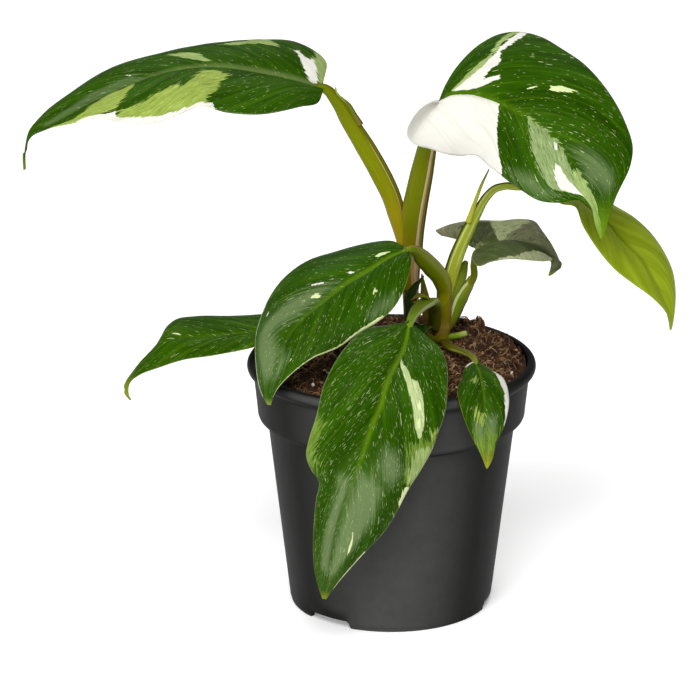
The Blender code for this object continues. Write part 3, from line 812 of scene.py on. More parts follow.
@dataclass
class Blade:
    """A leaf blade lofted across a midrib and two edges."""

    name: str
    node: str
    rib: list[Point]
    left: list[Point]
    right: list[Point]
    finish: LeafFinish
    patches: tuple[Patch, ...] = ()
    fan: float = 0.05
    vault: Pair = (0.10, 0.10)
    rows: int = 150
    half_columns: int = 26
    crowding: float = 1.15
    veins: float = 13.0
    relief: float = 0.10
    slant: float = 0.36
    sheet: float = 0.45
    spine: float = 1.3
    slot: str = "leaf_variegated"
    tip_share: float = 0.985
    sunk: float = 0.22

    def shares(self) -> tuple[np.ndarray, np.ndarray]:
        """Share the rows out along the leaf.

        Within a lobe behind the neck the rows fan out from almost one place on the midrib.

        Returns:
            Where each row reads the edges and where it reads the midrib.
        """
        slow = 0.15
        edge = np.linspace(0.0, self.tip_share, self.rows + 1)
        past = slow * self.fan + (edge - self.fan) * (1 - slow * self.fan) / (1 - self.fan)
        return edge, np.where(edge < self.fan, slow * edge, past)

    def surface(self) -> tuple[np.ndarray, np.ndarray, np.ndarray, np.ndarray]:
        """Work out the upper face.

        A point lies on the straight line from midrib to edge, raised by a parabola that is
        vault times the half's width at its highest, and lower near the neck. Added to it,
        square to the face, are the cushions, the groove and the ripple of relief_height.

        Returns:
            The points, the upward directions, and the along and across shares.
        """
        edge_at, rib_at = self.shares()
        rib = smooth_line(self.rib, rib_at)
        ahead = headings(self.rib, rib_at, 0.01)
        out = np.linspace(0.0, 1.0, self.half_columns + 1) ** self.crowding
        swell = 0.2 + 0.8 * ease(edge_at, 0.6 * self.fan, 1.6 * self.fan + 0.01)
        halves, widths = [], []
        for side, vault, sign in ((self.left, self.vault[0], 1.0), (self.right, self.vault[1], -1.0)):
            reach = smooth_line([*side, self.rib[-1]], edge_at) - rib
            width = np.linalg.norm(reach, axis=1)
            upward = unit(sign * np.cross(ahead, reach))
            dome = (4 * vault * out * (1 - out))[None, :] * (swell * width)[:, None]
            flat = rib[:, None] + out[None, :, None] * reach[:, None]
            halves.append(flat + dome[..., None] * upward[:, None])
            widths.append(width[:, None] * out[None, :])
        points = np.concatenate([halves[0][:, ::-1], halves[1][:, 1:]], axis=1)
        from_rib = np.concatenate([widths[0][:, ::-1], widths[1][:, 1:]], axis=1)
        across = np.concatenate([out[::-1], -out[1:]])[None, :] * np.ones((self.rows + 1, 1))
        along = edge_at[:, None] * np.ones_like(across)
        upward = unit(np.cross(np.gradient(points, axis=0), -np.gradient(points, axis=1)))
        height = self.relief_height(along, across, from_rib) - self.sunk
        return points + height[..., None] * upward, upward, along, across

    def relief_height(self, along: np.ndarray, across: np.ndarray, from_rib: np.ndarray) -> np.ndarray:
        """Work out the face's relief: cushions, a groove over the midrib and a ripple.

        The cushions are the size of a sine of the share along the side veins, the groove
        is a bell of the distance from the midrib, and the ripple is a sine along the edge.

        Args:
            along: Share along the leaf of each point.
            across: Signed share across the blade of each point.
            from_rib: Distance from the midrib in millimetres.

        Returns:
            The height in millimetres.
        """
        outwards = np.abs(across)
        wave = pi * self.veins * self.vein_share(along, across) + 1.2 * (across < 0)
        cushion = np.abs(np.sin(wave)) - 0.6
        fade = ease(outwards, 0.03, 0.3) * (1 - outwards**3) * ease(along, 0.02, 0.12)
        fade = fade * ease(1 - along, 0.02, 0.2)
        height = self.relief * cushion * fade - 0.45 * bell(from_rib, 1.0) * ease(1 - along, 0.0, 0.3)
        ripple = 0.06 * outwards**4 * np.sin(2 * pi * 3.1 * along + across)
        return height + ripple * ease(1 - along, 0.02, 0.2)

    def vein_share(self, along: np.ndarray, across: np.ndarray) -> np.ndarray:
        """Return a share that stays the same along each side vein, which leans to the tip."""
        return along - self.slant * np.abs(across)

    def pigments(self, along: np.ndarray, across: np.ndarray, length: float,
                 widths: dict[Half, float]) -> dict[Tint, np.ndarray]:
        """Join the patches of each tint: the greatest of their distances inside.

        Args:
            along: Share along the leaf of each point.
            across: Signed share across the blade of each point.
            length: The leaf's length in millimetres.
            widths: The width of each half in millimetres.

        Returns:
            One array for each tint, in the order that the tints are first named.
        """
        far_outside = -1e3
        joined: dict[Tint, np.ndarray] = {}
        for patch in self.patches:
            inside = patch.inside(along, across, length, widths[patch.half])
            joined[patch.tint] = np.maximum(joined.get(patch.tint, far_outside), inside)
        return joined

    def build(self, seed: float) -> Piece:
        """Close the blade with an under face, a spine below the midrib and a strip round the edge.

        Args:
            seed: What sets this leaf's pattern apart.

        Returns:
            The leaf's object.
        """
        top, upward, along, across = self.surface()
        rows, columns = top.shape[:2]
        centre = top[:, columns // 2]
        from_rib = np.linalg.norm(top - centre[:, None], axis=-1)
        taper = (1 - np.linspace(0.0, 1.0, rows)[:, None]) ** 0.7
        spine = self.spine * taper * bell(from_rib, 1.0 + 0.5 * taper)
        depth = self.sheet * (1 - 0.4 * np.abs(across) ** 3) + spine
        under = top - depth[..., None] * upward
        quads = grid_faces(rows, columns)
        drop = rows * columns
        index = np.arange(drop).reshape(rows, columns)
        ring = np.concatenate([index[:-1, 0], index[-1, :-1], index[:0:-1, -1], index[0, :0:-1]])
        after = np.roll(ring, -1)
        strip = np.column_stack([ring, after, after + drop, ring + drop])
        points = np.concatenate([top.reshape(-1, 3), under.reshape(-1, 3)])
        place = np.stack([along, across, self.vein_share(along, across)], axis=-1).reshape(-1, 3)
        length = float(run_along(centre)[-1])
        widths = {LEFT: float(from_rib[:, 0].max()), RIGHT: float(from_rib[:, -1].max())}
        pigments = self.pigments(along, across, length, widths)
        layers = {pigment_name(tint): np.tile(inside.ravel(), 2) for tint, inside in pigments.items()}
        size = (length, 0.5 * sum(widths.values()))
        material = self.finish.material(self.name, size, seed, list(pigments))
        item = add_mesh(self.name, points, [quads[:, ::-1], quads + drop, strip], material,
                        leaf_place=np.concatenate([place, place]),
                        leaf_under=np.concatenate([np.zeros(drop), np.ones(drop)]), **layers)
        return settle(item, self.slot, self.node)


@dataclass(frozen=True)
class Band:
    """A stripe along a stalk, at an angle round it and between two shares of its length."""

    tone: Colour
    angle: float
    width: float
    start: float = -0.1
    stop: float = 1.1
    strength: float = 0.9

    def laid(self, graph: Graph, colour: Socket, turned: tuple[Socket, Socket], slow: Socket) -> Socket:
        """Lay the stripe over a stalk's colour.

        Args:
            graph: The material's graph.
            colour: The colour so far.
            turned: The sine and cosine of the turn round the stalk.
            slow: The share along the stalk, a little uneven.

        Returns:
            The colour with the stripe.
        """
        turn, limit = radians(self.angle), cos(radians(self.width))
        facing = graph.math("ADD", graph.times(turned[0], sin(turn)), graph.times(turned[1], cos(turn)))
        soft = 0.35 * (1.0 - limit) + 0.004
        mask = graph.times(graph.between(facing, limit - soft, limit + soft),
                           graph.between(slow, self.start - 0.05, self.start + 0.05),
                           graph.between(slow, self.stop + 0.06, self.stop - 0.06))
        return graph.mix(graph.times(mask, self.strength), colour, self.tone)


@dataclass(frozen=True)
class StalkFinish:
    """The colours of one stem, stalk or sheath."""

    foot: Colour = (0.11, 0.12, 0.004)
    middle: Colour = (0.11, 0.13, 0.003)
    top: Colour = (0.10, 0.13, 0.004)
    bands: tuple[Band, ...] = ()
    roughness: float = 0.36
    ribbing: float = 0.35

    def material(self, name: str, seed: float) -> Material:
        """Build the stalk's material.

        Args:
            name: The stalk's name.
            seed: What sets its pattern apart.

        Returns:
            The material.
        """
        material, graph, shader = new_material(
            f"{name}_finish", Specular_IOR_Level=0.25, Specular_Tint=(1.0, 0.95, 0.35), IOR=1.3,
            Subsurface_Weight=0.03, Subsurface_Radius=(0.0015, 0.0015, 0.0004))
        along, side, front = graph.split(graph.attribute("stalk_place", "Vector"))
        round_it = graph.combine(graph.times(side, 6.0), graph.times(front, 6.0),
                                 graph.line(along, 2.5, seed))
        fibres = graph.noise(round_it, 1.0, 4.0, 0.65)
        slow = graph.line(graph.math("SUBTRACT", fibres, 0.5), 0.35, along)
        colour = graph.mix(graph.between(slow, 0.02, 0.40), self.foot, self.middle)
        colour = graph.mix(graph.between(slow, 0.50, 0.95), colour, self.top)
        pale = graph.times(graph.between(fibres, 0.50, 0.74), self.ribbing)
        colour = graph.mix(pale, colour, tuple(min(1.0, 1.6 * c) for c in self.middle))
        for band in self.bands:
            colour = band.laid(graph, colour, (side, front), slow)
        graph.feed(shader["Base Color"], colour)
        grain = graph.group(GROUPS.grain, Size=0.5)
        graph.feed(shader["Roughness"], graph.line(grain["Mottle"], 0.2, self.roughness - 0.1))
        graph.feed(shader["Normal"], graph.bump(graph.line(grain["Height"], 0.3, fibres), 0.0003))
        return material


@dataclass
class Stalk:
    """A stem, stalk or sheath: an oval tube with a groove down one side."""

    name: str
    path: list[Point]
    sizes: list[Pair]
    facing: Point = (0.0, -1.0, 0.0)
    groove_angle: float = 0.0
    groove: float = 0.0
    groove_width: float = 24.0
    flange: float = 0.0
    rings: tuple[float, ...] = ()
    finish: StalkFinish = StalkFinish()
    blade: Blade | None = None
    sides: int = 40
    steps: int = 90

    def run(self) -> tuple[list[Point], list[Pair], np.ndarray]:
        """Join the stalk's path to its leaf's neck and let it taper off under the midrib.

        Returns:
            The path, the sizes and the share of the path at which each size holds.
        """
        at = np.linspace(0.0, 1.0, len(self.sizes))
        if self.blade is None:
            return self.path, self.sizes, at
        end = neck_end(self.blade)
        midrib = smooth_line(self.blade.rib, np.linspace(0.0, 1.0, 200))
        reach = run_along(midrib)
        sunk = end - np.array(self.blade.rib[0], float)
        tail_length = 13.0
        under = [np.array([np.interp(d, reach, midrib[:, k]) for k in range(3)]) + share * sunk
                 for d, share in ((4.0, 2.0), (8.0, 2.0), (tail_length, 1.5))]
        path = [*self.path, end, *under]
        length = run_along(smooth_line(path, np.linspace(0.0, 1.0, 400)))[-1]
        stop = 1.0 - tail_length / length
        wide, deep = self.sizes[-1]
        tail = [(0.80 * wide, 0.75 * deep), (0.50 * wide, 0.50 * deep), (0.25, 0.25)]
        tail_at = stop + (1 - stop) * np.array([0.3, 0.6, 1.0])
        return path, [*self.sizes, *tail], np.concatenate([at * stop, tail_at])

    def points(self) -> tuple[np.ndarray, np.ndarray]:
        """Work out the tube.

        Round the path, the radius is an oval less a bell-shaped groove, with two raised
        lips beside the groove, and it swells a little at each ring.

        Returns:
            The points and their place: share along, and the two parts of the turn.
        """
        shares = np.linspace(0.0, 1.0, self.steps)
        path, sizes, at = self.run()
        centre = smooth_line(path, shares)
        ahead = headings(path, shares, 0.012)
        side = unit(np.cross(ahead, np.asarray(self.facing)))
        front = unit(np.cross(side, ahead))
        width = np.interp(shares, at, [s[0] for s in sizes])[:, None]
        depth = np.interp(shares, at, [s[1] for s in sizes])[:, None]
        turn = np.linspace(-pi, pi, self.sides, endpoint=False)[None, :]
        off = np.degrees(np.abs((turn - radians(self.groove_angle) + pi) % (2 * pi) - pi))
        lips = self.flange * bell(off - 1.5 * self.groove_width, 0.45 * self.groove_width)
        shape = 1 - self.groove * bell(off, self.groove_width) + lips
        swell = 1 + 0.05 * sum((bell(shares - ring, 0.012) for ring in self.rings), np.zeros(self.steps))
        close = np.sqrt(np.clip(1 - ease(shares, 0.985, 1.0) ** 2 * 0.7, 0.0, 1.0))
        radius = 0.5 * shape * swell[:, None] * close[:, None]
        offset = ((radius * width * np.sin(turn))[..., None] * side[:, None]
                  + (radius * depth * np.cos(turn))[..., None] * front[:, None])
        place = np.stack(np.broadcast_arrays(shares[:, None], np.sin(turn), np.cos(turn)), axis=-1)
        return centre[:, None] + offset, place

    def build(self, seed: float) -> Piece:
        """Close the tube at both ends and give it its finish.

        Args:
            seed: What sets its pattern apart.

        Returns:
            The stalk's object.
        """
        grid, place = self.points()
        ends = np.stack([grid[0].mean(axis=0), grid[-1].mean(axis=0)])
        end_place = np.array([[0.0, 0.0, 1.0], [1.0, 0.0, 1.0]])
        item = add_mesh(self.name, np.concatenate([grid.reshape(-1, 3), ends]),
                        closed_faces(self.steps, self.sides), self.finish.material(self.name, seed),
                        stalk_place=np.concatenate([place.reshape(-1, 3), end_place]))
        face_outwards(item)
        return item


def neck_end(blade: Blade) -> np.ndarray:
    """Find where a leaf's stalk ends: just under the first point of the midrib.

    Args:
        blade: The leaf.

    Returns:
        The point.
    """
    start = np.array(blade.rib[0], float)
    row = np.array(blade.left[0], float) - np.array(blade.right[0], float)
    upward = unit(np.cross(np.array(blade.rib[1], float) - start, row))
    return start - 0.3 * unit(np.cross(row, upward)) - 0.9 * upward


ABOVE = (0.0, 0.0, 1.0)
RUST = (0.22, 0.055, 0.006)
BLACK = (0.012, 0.007, 0.002)

# The long leaf at the upper left
TALL_LEFT_LEAF = Blade(
    "tall_left_leaf", "leaf_tall_left",
    rib=[(-28, 12, 219), (-49, 6, 226), (-74, 0, 231), (-91, -4, 230), (-108, -8, 225), (-125, -11, 217),
        (-140, -13, 209), (-147, -14, 206), (-148.8, -14, 200), (-149.3, -13, 188.5)],
    left=[(-28, 10, 218), (-30, 2, 215), (-37, -8, 216), (-55, -20, 216), (-67, -24, 218), (-77, -26, 221),
        (-84, -28, 219), (-97, -30, 215), (-107, -29, 215), (-120, -26, 216), (-129, -22, 213),
        (-140, -17, 209), (-146, -15, 205), (-149, -14, 199)],
    right=[(-28, 14, 220), (-27, 26, 226), (-32, 33, 229), (-40, 36, 232), (-54, 36, 233), (-71, 33, 232),
        (-93, 27, 229), (-116, 18, 225), (-131, 8, 218), (-143, -4, 211), (-147, -11, 207),
        (-149, -13, 200)],
    finish=LeafFinish(flecks=0.26, haze=0.06, margin_strength=0.1, midrib=Tint.SAGE, midrib_strength=0.35,
        soft=0.35),
    patches=(
        # Painted sheen: a soft pale zone beside the midrib where the blade would catch the light.
        Patch(RIGHT, Tint.SHEEN, 1.5, ((550, 0), (570, 140), (700, 200), (840, 160), (840, 0))),
        Patch(LEFT, Tint.YELLOW, 0.8, (
            (637, 1100), (630, 760), (568, 640), (525, 520), (492, 480), (470, 460), (450, 540),
            (427, 400), (391, 180), (361, 160), (325, 260), (355, 460), (368, 640), (394, 820),
            (420, 1100))),
        Patch(LEFT, Tint.YELLOW, 0.8, (
            (575, 60), (594, 280), (611, 460), (634, 700), (680, 860), (722, 1100), (860, 1100),
            (814, 900), (768, 840), (722, 620), (690, 300), (653, 120), (614, 100))),
        Patch(RIGHT, Tint.SAGE, 1.2, (
            (115, 580), (130, 1100), (-20, 1100), (20, 300), (62, 40), (82, 240))),
        Patch(RIGHT, Tint.SAGE, 0.6, (
            (355, 540), (312, 660), (246, 900), (205, 560), (259, 600), (312, 500))),
        Patch(RIGHT, Tint.SAGE, 0.5, (
            (483, 440), (443, 380), (407, 300), (368, 80), (407, 120), (443, 220))),
        Patch(LEFT, Tint.WHITE, 0.4, (
            (385, 930), (420, 930), (470, 950), (550, 900), (605, 880), (637, 900), (632, 740), (660, 820),
            (700, 900), (745, 970), (760, 1150), (360, 1150))),
        Patch(RIGHT, Tint.WHITE, 0.5, (
            (171, 600), (161, 640), (144, 520), (125, 500), (118, 580), (95, 420), (76, 200), (72, 40),
            (92, 40), (118, 180), (144, 400))),
        Patch(RIGHT, Tint.WHITE, 0.15, ((597, 210), (578, 120), (575, 140), (590, 220)))),
    fan=0.06, vault=(0.1, 0.12), rows=210, half_columns=30, veins=11, relief=0.22)

# The broad leaf with the white lobe at the upper right
TALL_RIGHT_LEAF = Blade(
    "tall_right_leaf", "leaf_tall_right",
    rib=[(19, 4.5, 214.5), (21.5, 3.8, 217), (30, 1, 219), (43, -6, 217), (54, -13, 213), (65, -21, 206),
        (73, -29, 197), (80, -35, 186), (83, -38, 176), (84, -38, 167)],
    left=[(19, 6.2, 215), (21, 10, 219), (27, 17, 227), (37, 23, 235), (44, 25, 238), (52, 25, 239),
        (60, 22, 238), (70, 15, 234), (78, 8, 230), (86, -1, 223), (94, -12, 211), (97, -19, 202),
        (96, -25, 197), (89, -35, 184), (86, -38, 175)],
    right=[(18.4, 2.8, 214.4), (16, -3, 216), (12, -7, 215), (8, -10, 211), (6, -10, 206), (7, -8, 202),
        (10, -6, 199), (15, -4, 197), (22, -2, 194), (28, -1, 193), (33, -3, 194), (39, -12, 192),
        (51, -25, 186), (59, -28, 182), (67, -31, 182), (75, -35, 184), (79, -37, 182), (81, -38, 175)],
    finish=LeafFinish(flecks=0.42, haze=0.04, midrib_strength=0.3, margin_strength=0.1, tip=Tint.BRIGHT,
        tip_from=0.84, soft=0.5),
    patches=(
        # Painted sheen: two soft pale zones toward the tip where the blade catches the light.
        Patch(LEFT, Tint.SHEEN, 3.0, (
            (690, 80), (730, 360), (800, 600), (850, 700), (860, 400), (810, 40))),
        Patch(RIGHT, Tint.SHEEN, 3.0, ((580, 840), (660, 660), (780, 720), (730, 920), (640, 960))),
        Patch(LEFT, Tint.SAGE, 0.5, (
            (268, 1100), (300, 1100), (284, 880), (280, 780), (288, 660), (290, 560), (272, 600),
            (262, 800))),
        Patch(LEFT, Tint.SAGE, 0.3, (
            (234, 60), (246, 180), (254, 300), (266, 440), (278, 560), (300, 500), (290, 280), (270, 160),
            (250, 60))),
        Patch(RIGHT, Tint.MIST, 0.7, (
            (512, -50), (565, -50), (634, -50), (670, 20), (706, 60), (742, 120), (778, 240), (834, 480),
            (758, 640), (726, 620), (706, 620), (670, 560), (634, 460), (601, 360), (565, 200), (525, 40))),
        Patch(RIGHT, Tint.SAGE, 0.7, (
            (735, -50), (768, -50), (900, -50), (1100, -50), (1100, 1100), (935, 1100), (903, 960),
            (860, 620), (814, 400), (765, 240))),
        Patch(RIGHT, Tint.WHITE, 0.22, (
            (-200, -50), (404, -50), (440, 260), (479, 540), (522, 740), (552, 860), (571, 980),
            (588, 1200), (-200, 1200))),
        Patch(RIGHT, Tint.WHITE, 0.35, (
            (690, 220), (716, 250), (745, 290), (781, 330), (840, 470), (788, 570), (755, 600), (726, 480),
            (700, 360))),
        Patch(RIGHT, Tint.WHITE, 0.2, ((630, 30), (644, 10), (663, 80), (653, 110))),
        Patch(LEFT, Tint.WHITE, 0.3, (
            (197, 0), (240, 20), (253, 100), (266, 200), (284, 340), (292, 500), (289, 640), (286, 780),
            (290, 920), (292, 1150), (312, 1150), (310, 880), (309, 760), (303, 680), (300, 600),
            (307, 520), (322, 460), (322, 400), (313, 320), (317, 260), (314, 160), (330, 230), (350, 290),
            (360, 240), (340, 160), (314, 80), (278, 20), (240, 0))),
        Patch(LEFT, Tint.CREAM, 0.35, (
            (488, 450), (506, 530), (525, 590), (548, 650), (535, 530), (519, 470), (500, 410))),
        Patch(LEFT, Tint.CREAM, 0.12, ((443, 280), (462, 370), (466, 360), (448, 270))),
        Patch(LEFT, Tint.GREEN, 0.1, ((30, -10), (100, 20), (200, 35), (300, 45), (420, 35), (440, -10)))),
    fan=0.22, rows=220, half_columns=34, veins=10, relief=0.06)

# The leaf at the lower left
LOW_LEFT_LEAF = Blade(
    "low_left_leaf", "leaf_low_left",
    rib=[(7, -5, 155), (0, -8, 153), (-10, -13, 148), (-19, -18, 144), (-29, -25, 138), (-38, -32, 132),
        (-44, -39, 125), (-48, -44, 113), (-50, -47, 100)],
    left=[(7, -6, 154), (8, -10, 152), (7, -16, 148), (5, -22, 143), (0, -28, 136), (-6, -32, 132),
        (-13, -36, 129), (-22, -41, 124), (-32, -45, 121), (-40, -48, 116), (-48, -47, 106)],
    right=[(6, -4, 155), (1, 2, 156), (-7, 8, 154), (-15, 9, 152), (-23, 8, 150), (-35, 4, 147),
        (-45, -2, 141), (-50, -8, 136), (-54, -15, 129), (-56, -22, 123), (-56, -30, 116), (-53, -43, 104)],
    # The grey haze from haze_from on is painted sheen.
    finish=LeafFinish(flecks=0.46, haze=0.12, haze_tint=Tint.GREY, haze_from=0.38, midrib_strength=0.55,
        margin=Tint.YELLOW, margin_strength=0.55, tip=Tint.YELLOW, tip_from=0.95, shine=0.1, roughness=0.3,
        soft=0.6),
    patches=(
        # Painted sheen: soft pale zones where the blade bulges toward the light.
        Patch(RIGHT, Tint.SHEEN, 3.0, (
            (370, 100), (420, 240), (520, 400), (610, 560), (670, 740), (780, 840), (900, 500), (880, 50),
            (760, 50), (700, 320), (620, 100), (510, 40))),
        Patch(LEFT, Tint.SHEEN, 3.0, ((920, 50), (840, 500), (760, 400), (760, 0), (880, 0))),
        Patch(LEFT, Tint.SHEEN, 3.0, ((260, 860), (320, 740), (400, 800), (400, 920), (300, 950))),
        Patch(RIGHT, Tint.CREAM, 0.25, (
            (185, 210), (161, 230), (121, 170), (119, 130), (135, 130), (171, 150))),
        Patch(RIGHT, Tint.WHITE, 0.2, ((320, 170), (303, 160), (289, 90), (310, 110))),
        Patch(RIGHT, Tint.WHITE, 0.12, ((460, 370), (414, 250), (419, 220), (456, 320))),
        Patch(RIGHT, Tint.CREAM, 0.35, ((503, 190), (473, 170), (458, 80), (483, 90))),
        Patch(LEFT, Tint.CREAM, 0.1, ((495, 280), (458, 200), (415, 110), (440, 165))),
        Patch(LEFT, Tint.CREAM, 0.3, ((327, 580), (299, 480), (286, 450), (299, 560))),
        Patch(RIGHT, Tint.WHITE, 0.12, ((667, 790), (644, 790), (619, 740), (640, 745))),
        Patch(LEFT, Tint.CREAM, 0.12, ((780, 570), (747, 520), (752, 540), (775, 600))),
        Patch(LEFT, Tint.CREAM, 0.12, (
            (355, 960), (390, 945), (470, 955), (570, 968), (780, 972), (950, 960), (970, 1200),
            (340, 1200))),
        Patch(RIGHT, Tint.CREAM, 0.2, ((600, 975), (800, 970), (950, 930), (970, 1200), (600, 1200)))),
    vault=(0.12, 0.1), rows=180, half_columns=28, veins=14)

# The leaf that hangs over the front of the pot
FRONT_LEAF = Blade(
    "front_leaf", "leaf_front",
    rib=[(7, -28, 130), (4, -42, 123), (0, -53, 119), (-3, -61, 115), (-5, -66, 108), (-8, -69, 102),
        (-12, -71, 90), (-17, -71, 75), (-22, -69, 57), (-28, -62, 21)],
    left=[(8, -28, 130), (11, -29, 128), (14, -34, 127), (19, -43, 125), (22, -52, 120), (22, -59, 114),
        (21, -64, 104), (18, -65, 95), (16, -65, 89), (12, -65, 81), (7, -66, 73), (-2, -67, 56),
        (-14, -65, 41), (-23, -63, 29)],
    right=[(6, -28, 130), (1, -27, 130), (-2, -29, 130), (-11, -38, 131), (-19, -48, 127), (-24, -56, 122),
        (-28, -62, 115), (-31, -66, 103), (-34, -66, 93), (-35, -65, 86), (-33, -65, 80), (-30, -67, 76),
        (-31, -69, 69), (-32, -69, 57), (-31, -64, 32)],
    # The grey haze on the lower half is painted sheen.
    finish=LeafFinish(flecks=0.75, haze=0.18, haze_from=0.4, haze_tint=Tint.GREY, margin_strength=0.15,
        tip_from=0.95, shine=0.1, roughness=0.3, soft=0.65),
    patches=(
        # Painted shade: soft deep green zones darken the blade where it curves away from the light.
        Patch(LEFT, Tint.DEEP, 2.0, (
            (620, 660), (580, 800), (600, 920), (680, 960), (780, 840), (720, 700))),
        Patch(LEFT, Tint.DEEP, 2.5, ((400, 40), (460, 240), (520, 200), (560, 100), (500, 20))),
        Patch(RIGHT, Tint.DEEP, 2.5, ((460, 100), (450, 440), (500, 580), (580, 480), (560, 220))),
        Patch(RIGHT, Tint.DEEP, 2.5, ((620, 600), (620, 960), (800, 960), (760, 660))),
        # Painted sheen: soft pale zones where the blade bulges toward the light.
        Patch(LEFT, Tint.SHEEN, 3.0, (
            (480, 280), (480, 480), (540, 740), (580, 660), (570, 460), (530, 300))),
        Patch(LEFT, Tint.SHEEN, 2.5, (
            (560, 20), (570, 300), (600, 540), (700, 620), (800, 600), (900, 400), (920, 20))),
        Patch(RIGHT, Tint.SHEEN, 2.5, (
            (580, 20), (590, 300), (690, 420), (780, 520), (880, 580), (910, 20))),
        Patch(RIGHT, Tint.FRESH, 2.2, (
            (400, 1200), (450, 860), (499, 820), (568, 780), (594, 840), (600, 1200))),
        Patch(LEFT, Tint.FRESH, 2.0, (
            (437, 740), (417, 900), (420, 1200), (620, 1200), (568, 880), (540, 820), (512, 760),
            (479, 660), (453, 640))),
        Patch(LEFT, Tint.SAGE, 0.9, (
            (470, 740), (450, 840), (450, 1200), (580, 1200), (565, 920), (520, 780))),
        Patch(LEFT, Tint.PALE, 0.25, (
            (190, 20), (240, 210), (259, 320), (282, 370), (286, 480), (309, 560), (332, 620), (368, 680),
            (394, 730), (424, 750), (436, 710), (415, 640), (395, 570), (362, 470), (333, 410), (299, 310),
            (263, 200), (213, 70))),
        Patch(LEFT, Tint.CREAM, 0.12, ((330, 560), (345, 600), (360, 600), (350, 540))),
        Patch(LEFT, Tint.CREAM, 0.12, ((375, 620), (400, 680), (412, 680), (390, 610))),
        Patch(LEFT, Tint.YELLOW, 1.2, ((398, 840), (400, 970), (425, 970), (430, 880))),
        Patch(LEFT, Tint.CREAM, 0.4, ((575, 900), (580, 1200), (670, 1200), (630, 940))),
        Patch(LEFT, Tint.CREAM, 0.3, ((742, 340), (781, 480), (824, 510), (790, 420))),
        Patch(LEFT, Tint.CREAM, 0.3, ((800, 960), (900, 930), (950, 950), (950, 1200), (800, 1200)))),
    fan=0.06, rows=210, half_columns=30, veins=12, relief=0.16)

# The small leaf over the right front of the rim
SMALL_FRONT_LEAF = Blade(
    "small_front_leaf", "leaf_small_front",
    rib=[(34, -28, 114), (36, -46, 112), (37, -55, 106), (37, -60, 99), (38, -61, 90), (38, -60, 78)],
    left=[(35, -28, 114), (37, -29, 113), (41, -34, 112), (45, -40, 111), (47, -47, 107), (47, -53, 103),
        (45, -57, 96), (42, -60, 90), (40, -60, 82)],
    right=[(33, -28, 114), (31, -31, 114), (28, -42, 112), (26, -52, 109), (27, -58, 105), (29, -60, 99),
        (32, -61, 92), (35, -61, 86)],
    finish=LeafFinish(flecks=0.45, haze=0.12, midrib_strength=0.4, margin=Tint.OLIVE, margin_strength=0.6,
        tip_from=0.8, soft=0.6),
    patches=(
        # Painted sheen: soft pale zones on the lower blade.
        Patch(RIGHT, Tint.SHEEN, 2.0, ((620, 0), (660, 600), (800, 800), (900, 0))),
        Patch(LEFT, Tint.SHEEN, 2.0, ((620, 0), (600, 500), (780, 800), (900, 0))),
        Patch(RIGHT, Tint.YELLOW, 1.2, ((335, 420), (286, 120), (300, 100), (345, 280))),
        Patch(RIGHT, Tint.YELLOW, 1.4, ((578, 360), (620, 40), (680, 120), (640, 400))),
        # Painted sheen: these two fresh green patches pale the lower blade where it catches the light.
        Patch(RIGHT, Tint.FRESH, 3.0, ((780, -50), (740, 500), (780, 950), (860, 900), (900, -50))),
        Patch(LEFT, Tint.FRESH, 3.0, ((740, -50), (700, 500), (740, 950), (860, 900), (900, -50))),
        Patch(LEFT, Tint.WHITE, 0.3, (
            (200, 700), (215, 1200), (720, 1200), (665, 950), (575, 880), (492, 810), (463, 760),
            (430, 800), (378, 720), (289, 660))),
        Patch(RIGHT, Tint.WHITE, 0.3, (
            (0, 100), (50, 200), (80, 500), (120, 800), (140, 1200), (0, 1200)))),
    rows=110, half_columns=20, veins=8, relief=0.08)

# The low leaf at the far left
SIDE_LEFT_LEAF = Blade(
    "side_left_leaf", "leaf_side_left",
    rib=[(-37, 14, 117), (-46, 11, 116), (-57, 8, 115), (-67, 5, 115), (-77, 2, 115), (-93, -4, 115),
        (-99, -6, 111), (-107, -8, 103), (-111, -9, 97), (-108, -6, 88)],
    left=[(-37, 12, 117), (-40, 5, 115), (-48, -1, 114), (-57, -4, 112), (-74, -9, 110), (-86, -12, 109),
        (-96, -13, 106), (-104, -13, 103), (-108, -11, 99), (-109, -9, 93)],
    right=[(-37, 16, 118), (-40, 22, 119), (-45, 25, 118), (-55, 25, 117), (-67, 23, 117), (-82, 19, 118),
        (-90, 15, 118), (-94, 11, 116), (-97, 3, 110), (-103, -2, 105), (-109, -6, 98), (-111, -8, 94)],
    finish=LeafFinish(flecks=0.52, haze=0.3, haze_tint=Tint.BRIGHT, midrib_strength=0.25,
        margin=Tint.YELLOW, margin_strength=0.5, tip_from=0.8),
    patches=(Patch(RIGHT, Tint.CREAM, 0.25, ((605, 260), (571, 50), (577, 50), (598, 160))),), rows=160,
    half_columns=24, veins=9)

# The lime leaf at the far right
LIME_RIGHT_LEAF = Blade(
    "lime_right_leaf", "leaf_lime_right",
    rib=[(64, 8, 176), (75, 7, 172), (86, 5, 166), (95, 4, 156), (105, 2, 146), (111, 0, 135),
        (115, -1, 124), (116, -1, 117)],
    left=[(65, 10, 177), (68, 14, 177), (76, 20, 175), (86, 24, 169), (94, 25, 164), (101, 24, 160),
        (108, 22, 154), (114, 18, 146), (117, 13, 140), (117, 1, 121)],
    right=[(64, 6, 176), (66, 2, 175), (69, -4, 174), (75, -9, 174), (78, -12, 167), (83, -14, 159),
        (91, -14, 149), (99, -12, 142), (108, -8, 134), (114, -4, 126)],
    finish=LeafFinish(ground=Tint.LIME, deep=Tint.LIME_DARK, flecks=0.0, thread=0.7, shine=0.2, haze=0.0,
        midrib=Tint.GREEN, margin=Tint.YELLOW, margin_strength=0.5, tip=Tint.LIME),
    half_columns=24, slot="leaf_lime")

